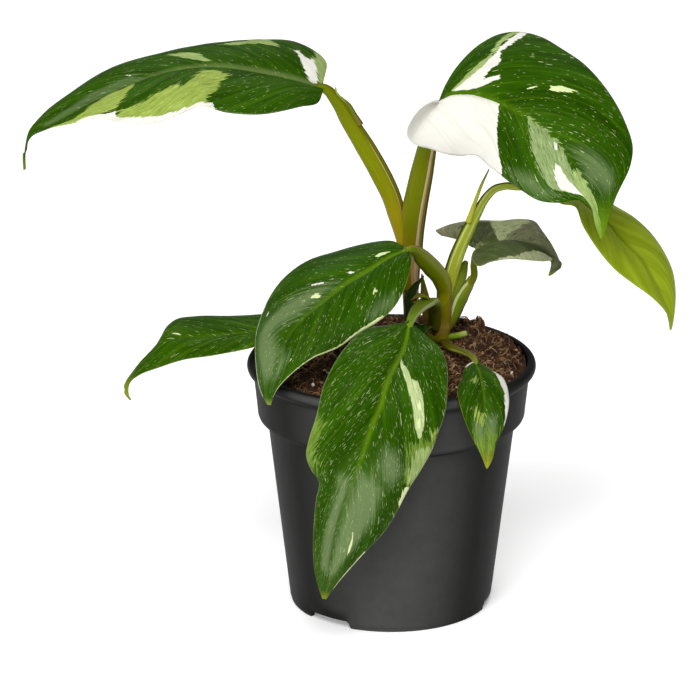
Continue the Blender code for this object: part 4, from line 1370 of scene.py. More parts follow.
# The grey-green leaf at the back right
BACK_RIGHT_LEAF = Blade(
    "back_right_leaf", "leaf_back_right",
    rib=[(35.5, 29.5, 143.5), (37.5, 30.5, 145.3), (42, 33, 146), (48, 36, 146), (54, 38, 145),
        (61, 39, 143), (67, 38, 140), (71, 36, 136), (69, 33, 133), (66, 31, 131)],
    left=[(34.8, 31, 143.8), (33, 35, 144.8), (29, 41, 145), (25, 46, 144), (21, 52, 143), (19, 56, 144),
        (21, 60, 144), (25, 62, 145), (31, 63, 146), (47, 65, 146), (56, 64, 147), (62, 59, 147),
        (64, 55, 145), (67, 49, 142), (70, 41, 137), (72, 36, 135), (69, 33, 132)],
    right=[(35.6, 28, 143.4), (34.6, 24, 143.6), (34, 19, 143), (36, 16, 141), (41, 15, 143),
        (50, 16, 144), (56, 18, 143), (63, 22, 141), (67, 27, 139), (67, 30, 135)],
    finish=LeafFinish(ground=Tint.SLATE, deep=Tint.SLATE_DARK, flecks=0.02, haze=0.5, haze_tint=Tint.GREY,
        midrib_strength=0.2, margin=Tint.GREY_SAGE, margin_strength=0.5),
    patches=(
        # Painted sheen: grey over the whole far half, with a grey haze, stands for the blade's gloss.
        Patch(LEFT, Tint.GREY, 1.0, ((-100, -50), (1100, -50), (1100, 1200), (-100, 1200))),
        Patch(LEFT, Tint.SLATE, 0.8, ((220, 100), (300, 620), (440, 620), (400, 0), (300, 0))),
        Patch(LEFT, Tint.GREY_PALE, 0.3, (
            (440, 500), (460, 700), (500, 1200), (620, 1200), (640, 740), (550, 340), (450, 60),
            (385, -50), (400, 160))),
        Patch(RIGHT, Tint.SILVER, 0.4, (
            (571, 820), (640, 680), (722, 680), (820, 780), (860, 1200), (400, 1200), (394, 960),
            (502, 940)))),
    fan=0.22, vault=(0.1, 0.14), rows=180, half_columns=28, veins=10, relief=0.12)

# The small dark leaf between the stems
INNER_LEAF = Blade(
    "inner_leaf", "leaf_inner",
    rib=[(14, 12, 113), (12, 6, 118), (10, -1, 120), (9, -8, 118), (8, -13, 113)],
    left=[(15, 12, 113), (17, 7, 117), (16, 0, 119), (13, -7, 118), (9, -12, 114)],
    right=[(13, 12, 113), (9, 9, 119), (6, 3, 121), (5, -4, 120), (6, -10, 116)],
    finish=LeafFinish(flecks=0.1, haze=0.0, roughness=0.22, tip=Tint.GREEN), fan=0.04, vault=(0.16, 0.16),
    rows=60, half_columns=14, veins=6, spine=0.8)

# The dry dark sheath at the foot of the tall stem
DRY_SHEATH_LEAF = Blade(
    "dry_sheath_skin", "dry_sheath",
    rib=[(8, 22.6, 104.7), (7.6, 21.9, 112), (7.9, 21.3, 119), (7.8, 20.6, 125.5), (10.2, 20.2, 131),
        (13.9, 20, 135.4)],
    left=[(6.4, 22.8, 104.7), (5.9, 22.4, 112), (5.9, 22, 119), (5.4, 21.2, 125.5), (8.4, 20.4, 130.8)],
    right=[(9.4, 22.8, 104.7), (9.3, 22.2, 112), (9.7, 21.5, 119), (9.9, 20.6, 125), (11.6, 20, 130.2)],
    finish=LeafFinish(ground=Tint.SLATE_DARK, deep=Tint.DARK, flecks=0.0, haze=0.0, midrib_strength=0.0,
        margin_strength=0.0, roughness=0.42, tip=Tint.GREEN),
    fan=0.0, vault=(0.15, 0.15), rows=60, half_columns=12, veins=6, relief=0.05, spine=0.4,
    slot="sheath_dry")

LEAVES = (
    TALL_LEFT_LEAF, TALL_RIGHT_LEAF, LOW_LEFT_LEAF, FRONT_LEAF, SMALL_FRONT_LEAF, SIDE_LEFT_LEAF,
    LIME_RIGHT_LEAF, BACK_RIGHT_LEAF, INNER_LEAF, DRY_SHEATH_LEAF)

# The stem, stalks and sheaths of the tall shoot, with the same paths as the solids
TALL_SHOOT = (
    Stalk("tall_stem", path=[(8.5, 28, 80), (8.5, 28, 103), (8.5, 28, 118), (8, 27, 131)],
        sizes=[(6, 6), (6, 6), (6.4, 6.2), (7.2, 7)], rings=(0.62,),
        finish=StalkFinish(
            (0.1, 0.055, 0.008), (0.16, 0.085, 0.015), (0.2, 0.12, 0.02),
            bands=(Band((0.44, 0.25, 0.13), 34.0, 30.0),))),
    Stalk("tall_right_stalk",
        path=[(8, 27, 127), (7.5, 26.5, 138), (8, 25, 150), (9.5, 22, 163), (12, 18, 178), (14.5, 13, 193),
            (16.6, 8.5, 206)],
        sizes=[(7.5, 7), (11, 8), (10.5, 7.5), (9.6, 6.4), (7.4, 5), (3.4, 2.8)], blade=TALL_RIGHT_LEAF,
        groove_angle=62.0, groove=0.22, groove_width=20.0, flange=0.05,
        finish=StalkFinish(
            (0.18, 0.13, 0.003), (0.11, 0.13, 0.002), (0.06, 0.095, 0.003),
            bands=(
                Band((0.2, 0.19, 0.01), -75.0, 32.0, 0.0, 0.35, 0.5),
                Band((0.3, 0.13, 0.03), -82.0, 20.0, 0.06, 0.34, 0.8),
                Band((0.33, 0.33, 0.05), 36.0, 6.0, 0.3, 0.75, 0.7),
                Band((0.44, 0.25, 0.13), 44.0, 34.0, -0.1, 0.13),
                Band((0.52, 0.34, 0.2), 46.0, 18.0, -0.1, 0.86, 0.95),
                Band((0.66, 0.56, 0.3), 27.0, 3.5, 0.15, 0.66, 0.8),
                Band((0.22, 0.1, 0.04), 62.0, 6.0, 0.0, 0.9, 0.7),
                Band((0.075, 0.025, 0.008), 86.0, 10.0)))),
    Stalk("tall_left_stalk",
        path=[(5, 25, 146), (3, 23.5, 157), (0.3, 22, 168), (-4.9, 20, 180), (-11.8, 18, 193),
            (-17.5, 16, 203), (-22.5, 14, 212)],
        sizes=[(4, 5), (7.6, 6), (8.4, 5.6), (8.1, 5), (6.8, 4.4), (3.9, 2.6)], blade=TALL_LEFT_LEAF,
        groove_angle=55.0, groove=0.16, groove_width=16.0, flange=0.05,
        finish=StalkFinish(
            (0.28, 0.205, 0.006), (0.14, 0.158, 0.001), (0.1, 0.13, 0.001),
            bands=(
                Band((0.5, 0.42, 0.16), 44.0, 8.0, 0.05, 0.52, 0.8), Band(RUST, 52.0, 14.0, -0.1, 0.16),
                Band((0.1, 0.085, 0.003), 62.0, 9.0, 0.05, 0.93, 0.8),
                Band(BLACK, 84.0, 12.0, 0.05, 0.93, 1.0),
                Band((0.055, 0.05, 0.002), -88.0, 16.0, 0.1, 1.1, 0.7)))),
    Stalk("tall_left_sheath_tip",
        path=[(-13.2, 16, 201.5), (-15.6, 15.2, 206), (-17.8, 14.6, 210.4), (-20.4, 13.8, 213.2),
            (-22.6, 13.2, 215.4), (-23.2, 13, 218.4)],
        sizes=[(3.4, 1.8), (2.8, 1.5), (2.2, 1.2), (1.6, 1.1), (1.2, 0.9), (0.6, 0.6)], steps=50, sides=16,
        finish=StalkFinish(
            (0.14, 0.1, 0.015), (0.1, 0.12, 0.01), (0.24, 0.3, 0.06),
            bands=(
                Band((0.36, 0.42, 0.16), -60.0, 26.0, 0.2, 1.1, 0.8),
                Band(BLACK, 70.0, 26.0, -0.1, 0.6, 0.7)))),
    Stalk("side_left_stalk", path=[(7.5, 27, 108.6), (0, 24.5, 108.6), (-14, 21, 113), (-28, 16.5, 117.4)],
        sizes=[(4.4, 4), (3.8, 3.4), (3.2, 2.8), (2.6, 2)], blade=SIDE_LEFT_LEAF, facing=ABOVE, steps=60,
        sides=24),
)


# The stem, stalks and sheaths of the short shoot, with the same paths as the solids
SHORT_SHOOT = (
    Stalk("short_stem",
        path=[(21.2, 22, 80), (21.2, 22, 103), (21.7, 22, 112), (22.2, 22, 121), (22.2, 22, 130)],
        sizes=[(6.6, 6.2), (6.6, 6.2), (6.6, 6.2), (6.4, 6)], rings=(0.645,),
        finish=StalkFinish(
            (0.1, 0.07, 0.003), (0.17, 0.13, 0.006), (0.13, 0.12, 0.001),
            bands=(
                Band((0.36, 0.2, 0.08), 0.0, 80.0, 0.62, 0.64, 0.8),
                Band((0.2, 0.085, 0.02), 80.0, 24.0)))),
    Stalk("low_left_stalk",
        path=[(22, 21.6, 121), (22.3, 21, 128.5), (20.6, 18, 134.7), (16.9, 12.5, 141), (12.7, 5, 147.8),
            (9.7, -1, 152.6)],
        sizes=[(5, 5), (7.4, 6.4), (8, 5.8), (7.2, 5), (3.2, 2.4)], blade=LOW_LEFT_LEAF, groove_angle=60.0,
        groove=0.1,
        finish=StalkFinish(
            (0.17, 0.17, 0.001), (0.12, 0.16, 0.001), (0.085, 0.13, 0.001),
            bands=(
                Band((0.26, 0.19, 0.07), 80.0, 11.0, 0.25, 1.1, 0.8),
                Band((0.11, 0.035, 0.01), 90.0, 9.0, -0.1, 0.9, 0.8),
                Band((0.035, 0.035, 0.001), -80.0, 30.0, -0.1, 1.1, 0.6)))),
    Stalk("front_stalk",
        path=[(18.8, 20.5, 112), (18, 17, 121.5), (16.4, 9, 127.7), (13.5, -2, 129.8), (10.2, -14, 131)],
        sizes=[(4, 5), (6.6, 4.2), (7.2, 3.8), (5.6, 3.2), (3, 2.3)], blade=FRONT_LEAF, facing=ABOVE,
        groove=0.35, groove_width=34.0, flange=0.1,
        finish=StalkFinish(
            (0.07, 0.075, 0.003), (0.09, 0.13, 0.006), (0.11, 0.19, 0.01),
            bands=(Band((0.26, 0.31, 0.11), -95.0, 40.0, 0.25, 0.85, 0.8),))),
    Stalk("front_sheath_curl",
        path=[(16.4, 5, 127.6), (14.4, 2.6, 131.2), (11.6, 1.4, 132.6), (9.4, 1.4, 131.4),
            (9.4, 1.8, 129.4), (10.8, 2.0, 128.9)],
        sizes=[(3.4, 3.0), (4.6, 2.2), (4.6, 1.8), (4.0, 1.6), (3.0, 1.4), (1.4, 1.0)], facing=ABOVE,
        groove=0.3, groove_width=30.0, steps=50, sides=24,
        finish=StalkFinish(
            (0.09, 0.085, 0.003), (0.115, 0.12, 0.004), (0.17, 0.12, 0.02),
            bands=(Band((0.24, 0.12, 0.05), 90.0, 22.0, 0.2, 1.1, 0.7),))),
    Stalk("small_front_stalk",
        path=[(21.8, 21, 106.2), (23.5, 12, 107), (26.5, 2, 108.8), (31, -12, 111.6)],
        sizes=[(3.6, 3.2), (4.6, 3), (4, 2.6), (2.4, 2)], blade=SMALL_FRONT_LEAF, facing=ABOVE,
        groove=0.25, groove_width=26.0, steps=60,
        finish=StalkFinish(
            (0.07, 0.06, 0.004), (0.1, 0.1, 0.004), (0.16, 0.2, 0.015),
            bands=(Band((0.3, 0.32, 0.06), 75.0, 16.0, 0.3, 1.1, 0.7),))),
    Stalk("lime_stalk",
        path=[(22.2, 23, 118), (23.8, 24, 129), (27, 25, 141), (32.3, 26.5, 153.5), (35.8, 27, 160.5),
            (39.4, 27.2, 167), (43, 26.5, 171), (47, 24, 173), (52, 18, 174.5), (58, 12.5, 176)],
        sizes=[(4, 5), (6.2, 5.4), (6.2, 5), (5.4, 4.4), (3.8, 3.6), (3.2, 3.2), (3.2, 3), (2.6, 2.2)],
        blade=LIME_RIGHT_LEAF, groove_angle=-62.0, groove=0.15, groove_width=15.0, flange=0.04,
        finish=StalkFinish(
            (0.26, 0.27, 0.012), (0.25, 0.3, 0.03), (0.21, 0.28, 0.03), ribbing=0.6,
            bands=(
                Band((0.5, 0.54, 0.2), -34.0, 7.0, 0.2, 0.6, 0.8),
                Band((0.45, 0.5, 0.16), 20.0, 8.0, 0.2, 0.7, 0.6),
                Band((0.1, 0.11, 0.006), -6.0, 4.0, 0.25, 0.6, 0.6),
                Band((0.022, 0.022, 0.001), -80.0, 17.0, 0.1, 0.8)))),
    Stalk("lime_sheath_tip",
        path=[(32.0, 24.4, 157), (34.6, 24.8, 165), (37.4, 25.2, 173), (40.6, 25.6, 180)],
        sizes=[(2.6, 1.8), (1.8, 1.2), (1.3, 1), (0.6, 0.6)], steps=40, sides=16,
        finish=StalkFinish((0.36, 0.36, 0.03), (0.34, 0.36, 0.04), (0.14, 0.16, 0.01))),
    Stalk("bud_sheath",
        path=[(22.8, 23, 110), (26.2, 24, 116.3), (28.4, 25.5, 122), (30.8, 27, 126.5), (33, 28, 129.5),
            (34, 28.3, 132.2)],
        sizes=[(4, 4.4), (5, 5), (6, 5.6), (6.6, 6), (5.4, 5), (2.6, 2.6)], groove_angle=-25.0,
        groove=0.12, groove_width=18.0,
        finish=StalkFinish(
            (0.1, 0.11, 0.004), (0.095, 0.14, 0.004), (0.15, 0.17, 0.01),
            bands=(
                Band((0.42, 0.46, 0.2), -34.0, 13.0, 0.15, 0.9, 0.85),
                Band((0.035, 0.04, 0.001), 72.0, 26.0)))),
    Stalk("brown_sheath", path=[(16.5, 24, 106), (15.5, 24, 116), (14, 24, 126), (12.8, 24, 135)],
        sizes=[(4.6, 2), (4.6, 2), (3.6, 1.6), (0.6, 0.6)], steps=40, sides=16,
        finish=StalkFinish((0.3, 0.16, 0.06), (0.17, 0.12, 0.015), (0.1, 0.11, 0.004))),
    Stalk("back_sheath",
        path=[(23.5, 24, 122), (26.4, 25.6, 129), (29.3, 26.6, 134.3), (31.6, 27.4, 139.5)],
        sizes=[(4, 4), (6.6, 4), (6.2, 3), (1.8, 1.2)], groove_angle=20.0, groove=0.1, steps=50, sides=24,
        finish=StalkFinish((0.14, 0.16, 0.01), (0.13, 0.17, 0.01), (0.05, 0.07, 0.003))),
    Stalk("back_right_stalk", path=[(31.5, 27, 127), (34.8, 28.2, 132.3), (34.7, 28.6, 137.8)],
        sizes=[(3.4, 3.4), (3, 3), (2.4, 2.2)], blade=BACK_RIGHT_LEAF, steps=40, sides=20),
    Stalk("inner_stalk", path=[(19.5, 20, 106.5), (17.4, 16.8, 108.5)],
        sizes=[(3.2, 3.2), (2.8, 2.8), (2.2, 1.8)], blade=INNER_LEAF, steps=30, sides=20),
    Stalk("cut_stub", path=[(22.6, 21.5, 107.5), (27, 21, 108.3), (32, 21, 109.6)],
        sizes=[(2.6, 2.4), (2.8, 2.4), (2.6, 2.2)], steps=24, sides=20,
        finish=StalkFinish((0.1, 0.17, 0.01), (0.13, 0.21, 0.01), (0.3, 0.35, 0.09))),
)


@dataclass(frozen=True)
class Plastic:
    """Satin black plastic: its two middle tones, a dark tone painted as shade where the wall turns away,
    and its dust.
    """

    tone: Colour = (0.040, 0.040, 0.0390)
    pale: Colour = (0.058, 0.058, 0.0565)
    # Painted shade: the near-black tone for the sides that turn away from the camera.
    turned: Colour = (0.0040, 0.0040, 0.0037)
    dust: Colour = (0.20, 0.18, 0.16)
    roughness: float = 0.52

    def material(self) -> Material:
        """Build the plastic with a fine grain, faint flow marks, a little dust and painted shade on its
        turned-away sides.

        Returns:
            The material.
        """
        material, graph, shader = new_material("pot_plastic_finish", Specular_IOR_Level=0.08)
        grain = graph.group(GROUPS.grain, Size=0.30)
        place = graph.place()
        flow = graph.streaks(place, (260.0, 260.0, 9.0), 3.0)
        specks = graph.between(graph.noise(place, 700.0, 4.0, 0.7), 0.66, 0.74)
        # Painted shade: darken towards the turned tone where the wall turns away from the camera.
        facing = graph.node("ShaderNodeLayerWeight")
        facing.inputs["Blend"].default_value = 0.5
        turned = graph.between(facing.outputs["Facing"], 0.05, 0.48)
        colour = graph.mix(turned, graph.mix(grain["Mottle"], self.tone, self.pale), self.turned)
        graph.feed(shader["Base Color"], graph.mix(graph.times(specks, 0.10), colour, self.dust))
        gloss = graph.line(flow, 0.10, self.roughness)
        graph.feed(shader["Roughness"], graph.line(specks, 0.2, gloss))
        graph.feed(shader["Normal"], graph.bump(graph.line(flow, 0.5, grain["Height"]), 0.00012))
        return material


@dataclass
class Pot:
    """A turned nursery pot with a lip, a collar, a tapered body and three gaps in its foot."""

    rim: float = 60.0
    height: float = 106.0
    wall: float = 1.0
    lip: float = 6.0
    collar_top: float = 57.2
    collar_base: float = 55.6
    collar_z: float = 83.0
    body_top: float = 51.5
    body_z: float = 79.5
    base: float = 42.0
    foot: float = 2.2
    floor: float = 3.5
    floor_wall: float = 1.4
    notch_height: float = 3.1
    notch_angles: tuple[float, ...] = (-39.0, 81.0, 201.0)
    notch_half: float = 14.0
    drain_radius: float = 4.0
    drain_circle: float = 24.0
    drains: int = 5
    sides: int = 288
    finish: Plastic = Plastic()

    def section(self) -> np.ndarray:
        """List the wall's section, from under the floor round the outside to above the floor.

        Returns:
            One row of radius and height for each point.
        """
        neck, foot, base, floor = self.height - self.lip, self.base - self.foot, self.base, self.floor
        top, low, shoulder_z = self.collar_top, self.collar_base, self.collar_z
        body, body_z, tread = self.body_top, self.body_z, floor + self.floor_wall
        inner, outer = self.drain_circle - 8, self.drain_circle + 8
        bead = np.linspace(-0.5 * pi, 0.62 * pi, 15)
        bead_half, bead_rise = 2.4, 2.6
        return np.concatenate([
            [(3.0, floor), (inner, floor), (outer, floor), (foot - 1.4, floor), (foot - 0.4, floor - 0.5),
             (foot, floor - 1.4), (foot, 0.4), (foot + 0.4, 0.0), (base - 0.6, 0.0), (base - 0.1, 0.3),
             (base, 0.8), (base + 0.1, 1.9), (base + 0.45, 2.1)],
            np.linspace((base + 0.5, 2.6), (body, body_z), 13),
            [(body + 0.25, body_z + 0.8), (body + 0.9, body_z + 1.3), (low - 1.3, shoulder_z - 1.5),
             (low - 0.4, shoulder_z - 1.0), (low, shoulder_z), (low + 0.05, shoulder_z + 0.6)],
            np.linspace((low, shoulder_z + 0.6), (top, neck - 1.2), 6)[1:],
            [(top + 0.1, neck + 0.3)],
            np.column_stack([self.rim - bead_half + bead_half * np.cos(bead),
                             neck + 3.4 + bead_rise * np.sin(bead)]),
            [(self.rim - 3.4, neck + 4.0), (top - self.wall, neck - 0.8),
             (low - self.wall, shoulder_z + 0.6), (body - self.wall, body_z + 0.8),
             (base + 0.4 - self.wall, tread), (outer, tread), (inner, tread), (3.0, tread)],
        ])

    def build(self) -> Piece:
        """Turn the section about the axis, lift the foot in its gaps and drill the drain holes.

        Returns:
            The pot's object.
        """
        section = self.section()
        turn = np.linspace(0.0, 2 * pi, self.sides, endpoint=False)
        radius, height = section[:, 0][:, None], section[:, 1][:, None]
        azimuth = np.degrees(np.arctan2(np.sin(turn), np.cos(turn))) + 90.0
        gap = np.zeros(self.sides)
        for angle in self.notch_angles:
            off = np.abs((azimuth - angle + 180.0) % 360.0 - 180.0)
            gap = np.maximum(gap, 1 - ease(off, self.notch_half - 0.7, self.notch_half + 0.9))
        lift = self.notch_height * gap[None, :]
        in_foot = (radius > self.base - self.foot - 1.5) & (height < self.floor) & (radius < self.base + 1)
        raised = np.where(in_foot, lift + height * (1 - lift / self.floor), height + 0.0 * lift)
        grid = np.stack([radius * np.cos(turn), radius * np.sin(turn), raised], axis=-1)
        poles = np.array([[0.0, 0.0, self.floor], [0.0, 0.0, self.floor + self.floor_wall]])
        item = add_mesh("nursery_pot", np.concatenate([grid.reshape(-1, 3), poles]),
                        closed_faces(len(section), self.sides), self.finish.material())
        face_outwards(item)
        self.drill(item)
        item.data.set_sharp_from_angle(angle=radians(38.0))
        return settle(item, "pot_plastic", "pot")

    def drill(self, item: Piece) -> None:
        """Cut the drain holes out of the floor with one Boolean.

        Args:
            item: The pot.
        """
        shape = bmesh.new()
        size = self.drain_radius * MM
        for k in range(self.drains):
            turn = 2 * pi * (k + 0.25) / self.drains
            place = np.array([self.drain_circle * cos(turn), self.drain_circle * sin(turn),
                              self.floor + 0.7])
            made = bmesh.ops.create_cone(shape, cap_ends=True, segments=40, radius1=size, radius2=size,
                                         depth=6 * MM)
            bmesh.ops.translate(shape, verts=made["verts"], vec=ORIGIN + place * MM)
        mesh = bpy.data.meshes.new("drain_cutter")
        shape.to_mesh(mesh)
        shape.free()
        cutter = bpy.data.objects.new("drain_cutter", mesh)
        bpy.context.scene.collection.objects.link(cutter)
        step = item.modifiers.new("drains", "BOOLEAN")
        step.operation = "DIFFERENCE"
        step.object = cutter
        step.solver = "EXACT"
        bpy.context.view_layer.update()
        result = bpy.data.meshes.new_from_object(item.evaluated_get(bpy.context.evaluated_depsgraph_get()))
        item.modifiers.clear()
        item.data = result
        bpy.data.objects.remove(cutter, do_unlink=True)
        result.shade_smooth()


@dataclass(frozen=True)
class Coir:
    """The colours of coir: its darkest tone, its middle and its pale parts, and how strands vary."""

    dark: Colour = (0.008, 0.003, 0.0015)
    middle: Colour = (0.070, 0.028, 0.010)
    pale: Colour = (0.33, 0.18, 0.08)
    varied: float = 0.5

    def material(self, name: str) -> Material:
        """Build the colour by place and by strand.

        Args:
            name: The material's name.

        Returns:
            The material.
        """
        material, graph, shader = new_material(name, Roughness=0.9, Specular_IOR_Level=0.25)
        place = graph.place()
        coarse, fine = graph.noise(place, 160.0, 5.0, 0.7), graph.noise(place, 1300.0, 4.0, 0.7)
        blend = graph.line(graph.attribute("strand"), self.varied, graph.times(coarse, 0.75))
        colour = graph.mix(graph.between(blend, 0.22, 0.55), self.dark, self.middle)
        colour = graph.mix(graph.between(blend, 0.58, 0.92), colour, self.pale)
        flaked = graph.times(graph.between(fine, 0.55, 0.75), 0.5)
        graph.feed(shader["Base Color"], graph.mix(flaked, colour, self.middle))
        graph.feed(shader["Normal"], graph.bump(fine, 0.0009, 0.8))
        return material


@dataclass(frozen=True)
class WhiteGrain:
    """The two tones of the white grains."""

    dull: Colour = (0.42, 0.38, 0.33)
    bright: Colour = (0.80, 0.77, 0.72)

    def material(self, name: str) -> Material:
        """Build the tones by place.

        Args:
            name: The material's name.

        Returns:
            The material.
        """
        material, graph, shader = new_material(name, Roughness=0.85)
        height = graph.group(GROUPS.grain, Size=0.4)["Height"]
        graph.feed(shader["Base Color"], graph.mix(height, self.dull, self.bright))
        graph.feed(shader["Normal"], graph.bump(height, 0.0003, 0.6))
        return material


class SoilFinish(Enum):
    """The finishes of the soil's parts."""

    BED = Coir(varied=0.0)
    LOOSE = Coir()
    PALE = Coir((0.10, 0.055, 0.03), (0.34, 0.21, 0.12), (0.62, 0.46, 0.30))
    GRAIN = WhiteGrain()


@dataclass
class Soil:
    """Coir and bark mix: a rough top with fibres, crumbs and white grains."""

    level: float = 103.6
    lump: float = 0.8
    rim: float = 55.9
    skirt: float = 9.0
    rings: int = 150
    sides: int = 420
    fibres: int = 3800
    crumbs: int = 1500
    grains: int = 26
    tuft: int = 60
    seed: int = 20

    def height(self, x: np.ndarray, y: np.ndarray) -> np.ndarray:
        """Work out the top: slow waves, clods and crumble from lattice noise, and a mound.

        Args:
            x: Where it is read.
            y: The same, the other way.

        Returns:
            The height of each place in millimetres.
        """
        lumps = (np.sin(0.31 * x + 0.17 * y + 0.6) * np.cos(0.23 * y - 0.11 * x)
                 + 0.6 * np.sin(0.57 * x - 0.41 * y + 2.0) + 0.4 * np.cos(0.83 * y + 0.49 * x + 1.1))
        place = np.stack([x, y], axis=-1)
        clods = np.abs(lattice_noise(place * 0.16, 1)) * 1.3 + np.abs(lattice_noise(place * 0.37, 2)) * 1.0
        fine = lattice_noise(place * 0.9, 3) * 0.45 + lattice_noise(place * 2.1, 4) * 0.25
        mound = 2.6 * bell(x - 36.0, 22.0) * bell(y - 44.0, 13.0) + 0.025 * np.maximum(y, 0.0)
        return self.level + self.lump * lumps + clods + fine + mound - 0.7

    def bed(self) -> Piece:
        """Build the soil's top as a disc of rings that turns down at the wall, closed below.

        Returns:
            The bed.
        """
        out = np.linspace(0.004, 1.0, self.rings)[:, None] ** 0.75
        turn = np.linspace(0.0, 2 * pi, self.sides, endpoint=False)[None, :]
        x, y = self.rim * out * np.cos(turn), self.rim * out * np.sin(turn)
        top = np.stack([x, y, self.height(x, y)], axis=-1)
        under = np.array([0.0, 0.0, self.level - self.skirt])
        wall = top[-1:] * np.array([0.985, 0.985, 0.0]) + under
        poles = np.array([[0.0, 0.0, top[0, :, 2].mean()], under])
        points = np.concatenate([top.reshape(-1, 3), wall.reshape(-1, 3), poles])
        item = add_mesh("soil_bed", points, closed_faces(self.rings + 1, self.sides),
                        SoilFinish.BED.value.material("soil_bed_finish"))
        face_outwards(item)
        return settle(item, "soil_mix")

    def plug(self) -> None:
        """Give the soil's solid, which fills the pot below the bed, a finish of the same kind."""
        node = bpy.data.objects["soil"]
        node.data.materials.clear()
        node.data.materials.append(SoilFinish.LOOSE.value.material("soil_plug_finish"))

    def scatter(self, rng: np.random.Generator, count: int, reach: float) -> tuple[np.ndarray, np.ndarray]:
        """Draw places on the top, evenly by area.

        Args:
            rng: The source of its random draws.
            count: How many.
            reach: How far out they lie.

        Returns:
            Their x and their y.
        """
        radius = reach * np.sqrt(rng.uniform(0.0, 1.0, count))
        turn = rng.uniform(0.0, 2 * pi, count)
        return radius * np.cos(turn), radius * np.sin(turn)

    def strands(self, name: str, places: tuple[np.ndarray, np.ndarray], rng: np.random.Generator,
                length: Pair, thick: Pair, rise: float, finish: SoilFinish = SoilFinish.LOOSE) -> Piece:
        """Lay thin bent strands on the top.

        Each strand starts at its place and runs in a heading that turns steadily. It
        follows the top's height, plus an arch of its own.

        Args:
            name: The piece's name.
            places: Where the strands lie: their x and their y.
            rng: The source of its random draws.
            length: Shortest and longest strand.
            thick: Thinnest and thickest strand.
            rise: How high the arches stand.
            finish: The strands' colours.

        Returns:
            The strands as one object.
        """
        x, y = places
        count, steps, sides = len(x), 7, 4
        run = np.linspace(-0.5, 0.5, steps)[None, :]
        size = rng.uniform(*length, count)[:, None]
        heading = rng.uniform(0.0, 2 * pi, count)[:, None] + rng.uniform(-2.6, 2.6, count)[:, None] * run
        path_x = x[:, None] + np.cumsum(np.cos(heading), axis=1) * size / steps
        path_y = y[:, None] + np.cumsum(np.sin(heading), axis=1) * size / steps
        pull = np.minimum(1.0, (self.rim - 0.6) / np.maximum(np.hypot(path_x, path_y), TINY))
        path_x, path_y = path_x * pull, path_y * pull
        arch = (0.25 - run**2) * 4 * rng.uniform(0.0, rise, count)[:, None]
        tilt = rng.uniform(-0.5, 0.5, count)[:, None] * run * rise
        path_z = self.height(path_x, path_y) + 0.15 + arch + tilt
        centre = np.stack([path_x, path_y, path_z], axis=-1)
        ahead = unit(np.gradient(centre, axis=1))
        side = unit(np.cross(ahead, np.array([0.0, 0.0, 1.0])))
        up = np.cross(side, ahead)
        turn = np.linspace(0.0, 2 * pi, sides, endpoint=False)[None, None, :, None]
        radius = 0.5 * rng.uniform(*thick, count)[:, None] * (1 - 0.7 * (2 * run) ** 4)
        ring = radius[..., None, None] * (np.cos(turn) * side[:, :, None] + np.sin(turn) * up[:, :, None])
        points = (centre[:, :, None] + ring).reshape(-1, 3)
        base = (np.arange(count) * steps * sides)[:, None, None]
        walls = (grid_faces(steps, sides, around=True)[None] + base).reshape(-1, 4)
        caps = np.concatenate([np.arange(sides)[None, ::-1] + base[:, 0],
                               np.arange(sides)[None] + (steps - 1) * sides + base[:, 0]])
        shade = np.repeat(rng.uniform(0.0, 1.0, count), steps * sides)
        item = add_mesh(name, points, [walls, caps], finish.value.material(f"{name}_finish"), strand=shade)
        face_outwards(item)
        return settle(item, "soil_mix")

    def pebbles(self, name: str, places: tuple[np.ndarray, np.ndarray], rng: np.random.Generator,
                size: Pair, lift: float, finish: SoilFinish) -> Piece:
        """Lay small rough lumps on the top: low spheres whose points are pushed in and out.

        Args:
            name: The piece's name.
            places: Where the lumps lie: their x and their y.
            rng: The source of its random draws.
            size: Smallest and largest radius.
            lift: How far the middles stand over the top.
            finish: The lumps' colours.

        Returns:
            The lumps as one object.
        """
        x, y = places
        ball = bmesh.new()
        bmesh.ops.create_icosphere(ball, subdivisions=1, radius=1.0)
        shape = np.array([v.co[:] for v in ball.verts])
        faces = np.array([[v.index for v in f.verts] for f in ball.faces])
        ball.free()
        count = len(x)
        spread = rng.uniform(0.62, 1.25, (count, len(shape), 1))
        stretch = rng.uniform(0.6, 1.3, (count, 1, 3)) * rng.uniform(*size, count)[:, None, None]
        centre = np.stack([x, y, self.height(x, y) + lift], axis=-1)[:, None]
        points = (shape[None] * spread * stretch + centre).reshape(-1, 3)
        base = (np.arange(count) * len(shape))[:, None, None]
        shade = np.repeat(rng.uniform(0.0, 1.0, count), len(shape))
        item = add_mesh(name, points, [(faces[None] + base).reshape(-1, 3)],
                        finish.value.material(f"{name[:-1]}_finish"), strand=shade)
        return settle(item, "soil_mix")

    def build(self) -> None:
        """Build the bed and everything that lies on it."""
        rng = np.random.default_rng(self.seed)
        self.plug()
        self.bed()
        reach = self.rim - 1.5
        places = self.scatter(rng, self.fibres, reach)
        self.strands("coir_fibres", places, rng, (2.5, 9.0), (0.20, 0.46), 1.7)
        places = self.scatter(rng, self.fibres // 12, reach)
        self.strands("pale_fibres", places, rng, (2.5, 9.0), (0.16, 0.34), 1.8, SoilFinish.PALE)
        places = self.scatter(rng, self.crumbs, reach)
        self.pebbles("bark_crumbs", places, rng, (0.35, 1.15), 0.3, SoilFinish.LOOSE)
        x, y = self.scatter(rng, self.grains, self.rim - 4.0)
        x[:2], y[:2] = (47.0, 49.5), (-6.0, -14.0)
        self.pebbles("white_grains", (x, y), rng, (0.5, 1.1), 0.8, SoilFinish.GRAIN)
        places = (36.5 + rng.normal(0.0, 1.8, self.tuft), 41.0 + rng.normal(0.0, 1.4, self.tuft))
        self.strands("fibre_tuft", places, rng, (1.5, 4.5), (0.3, 0.7), 3.6)


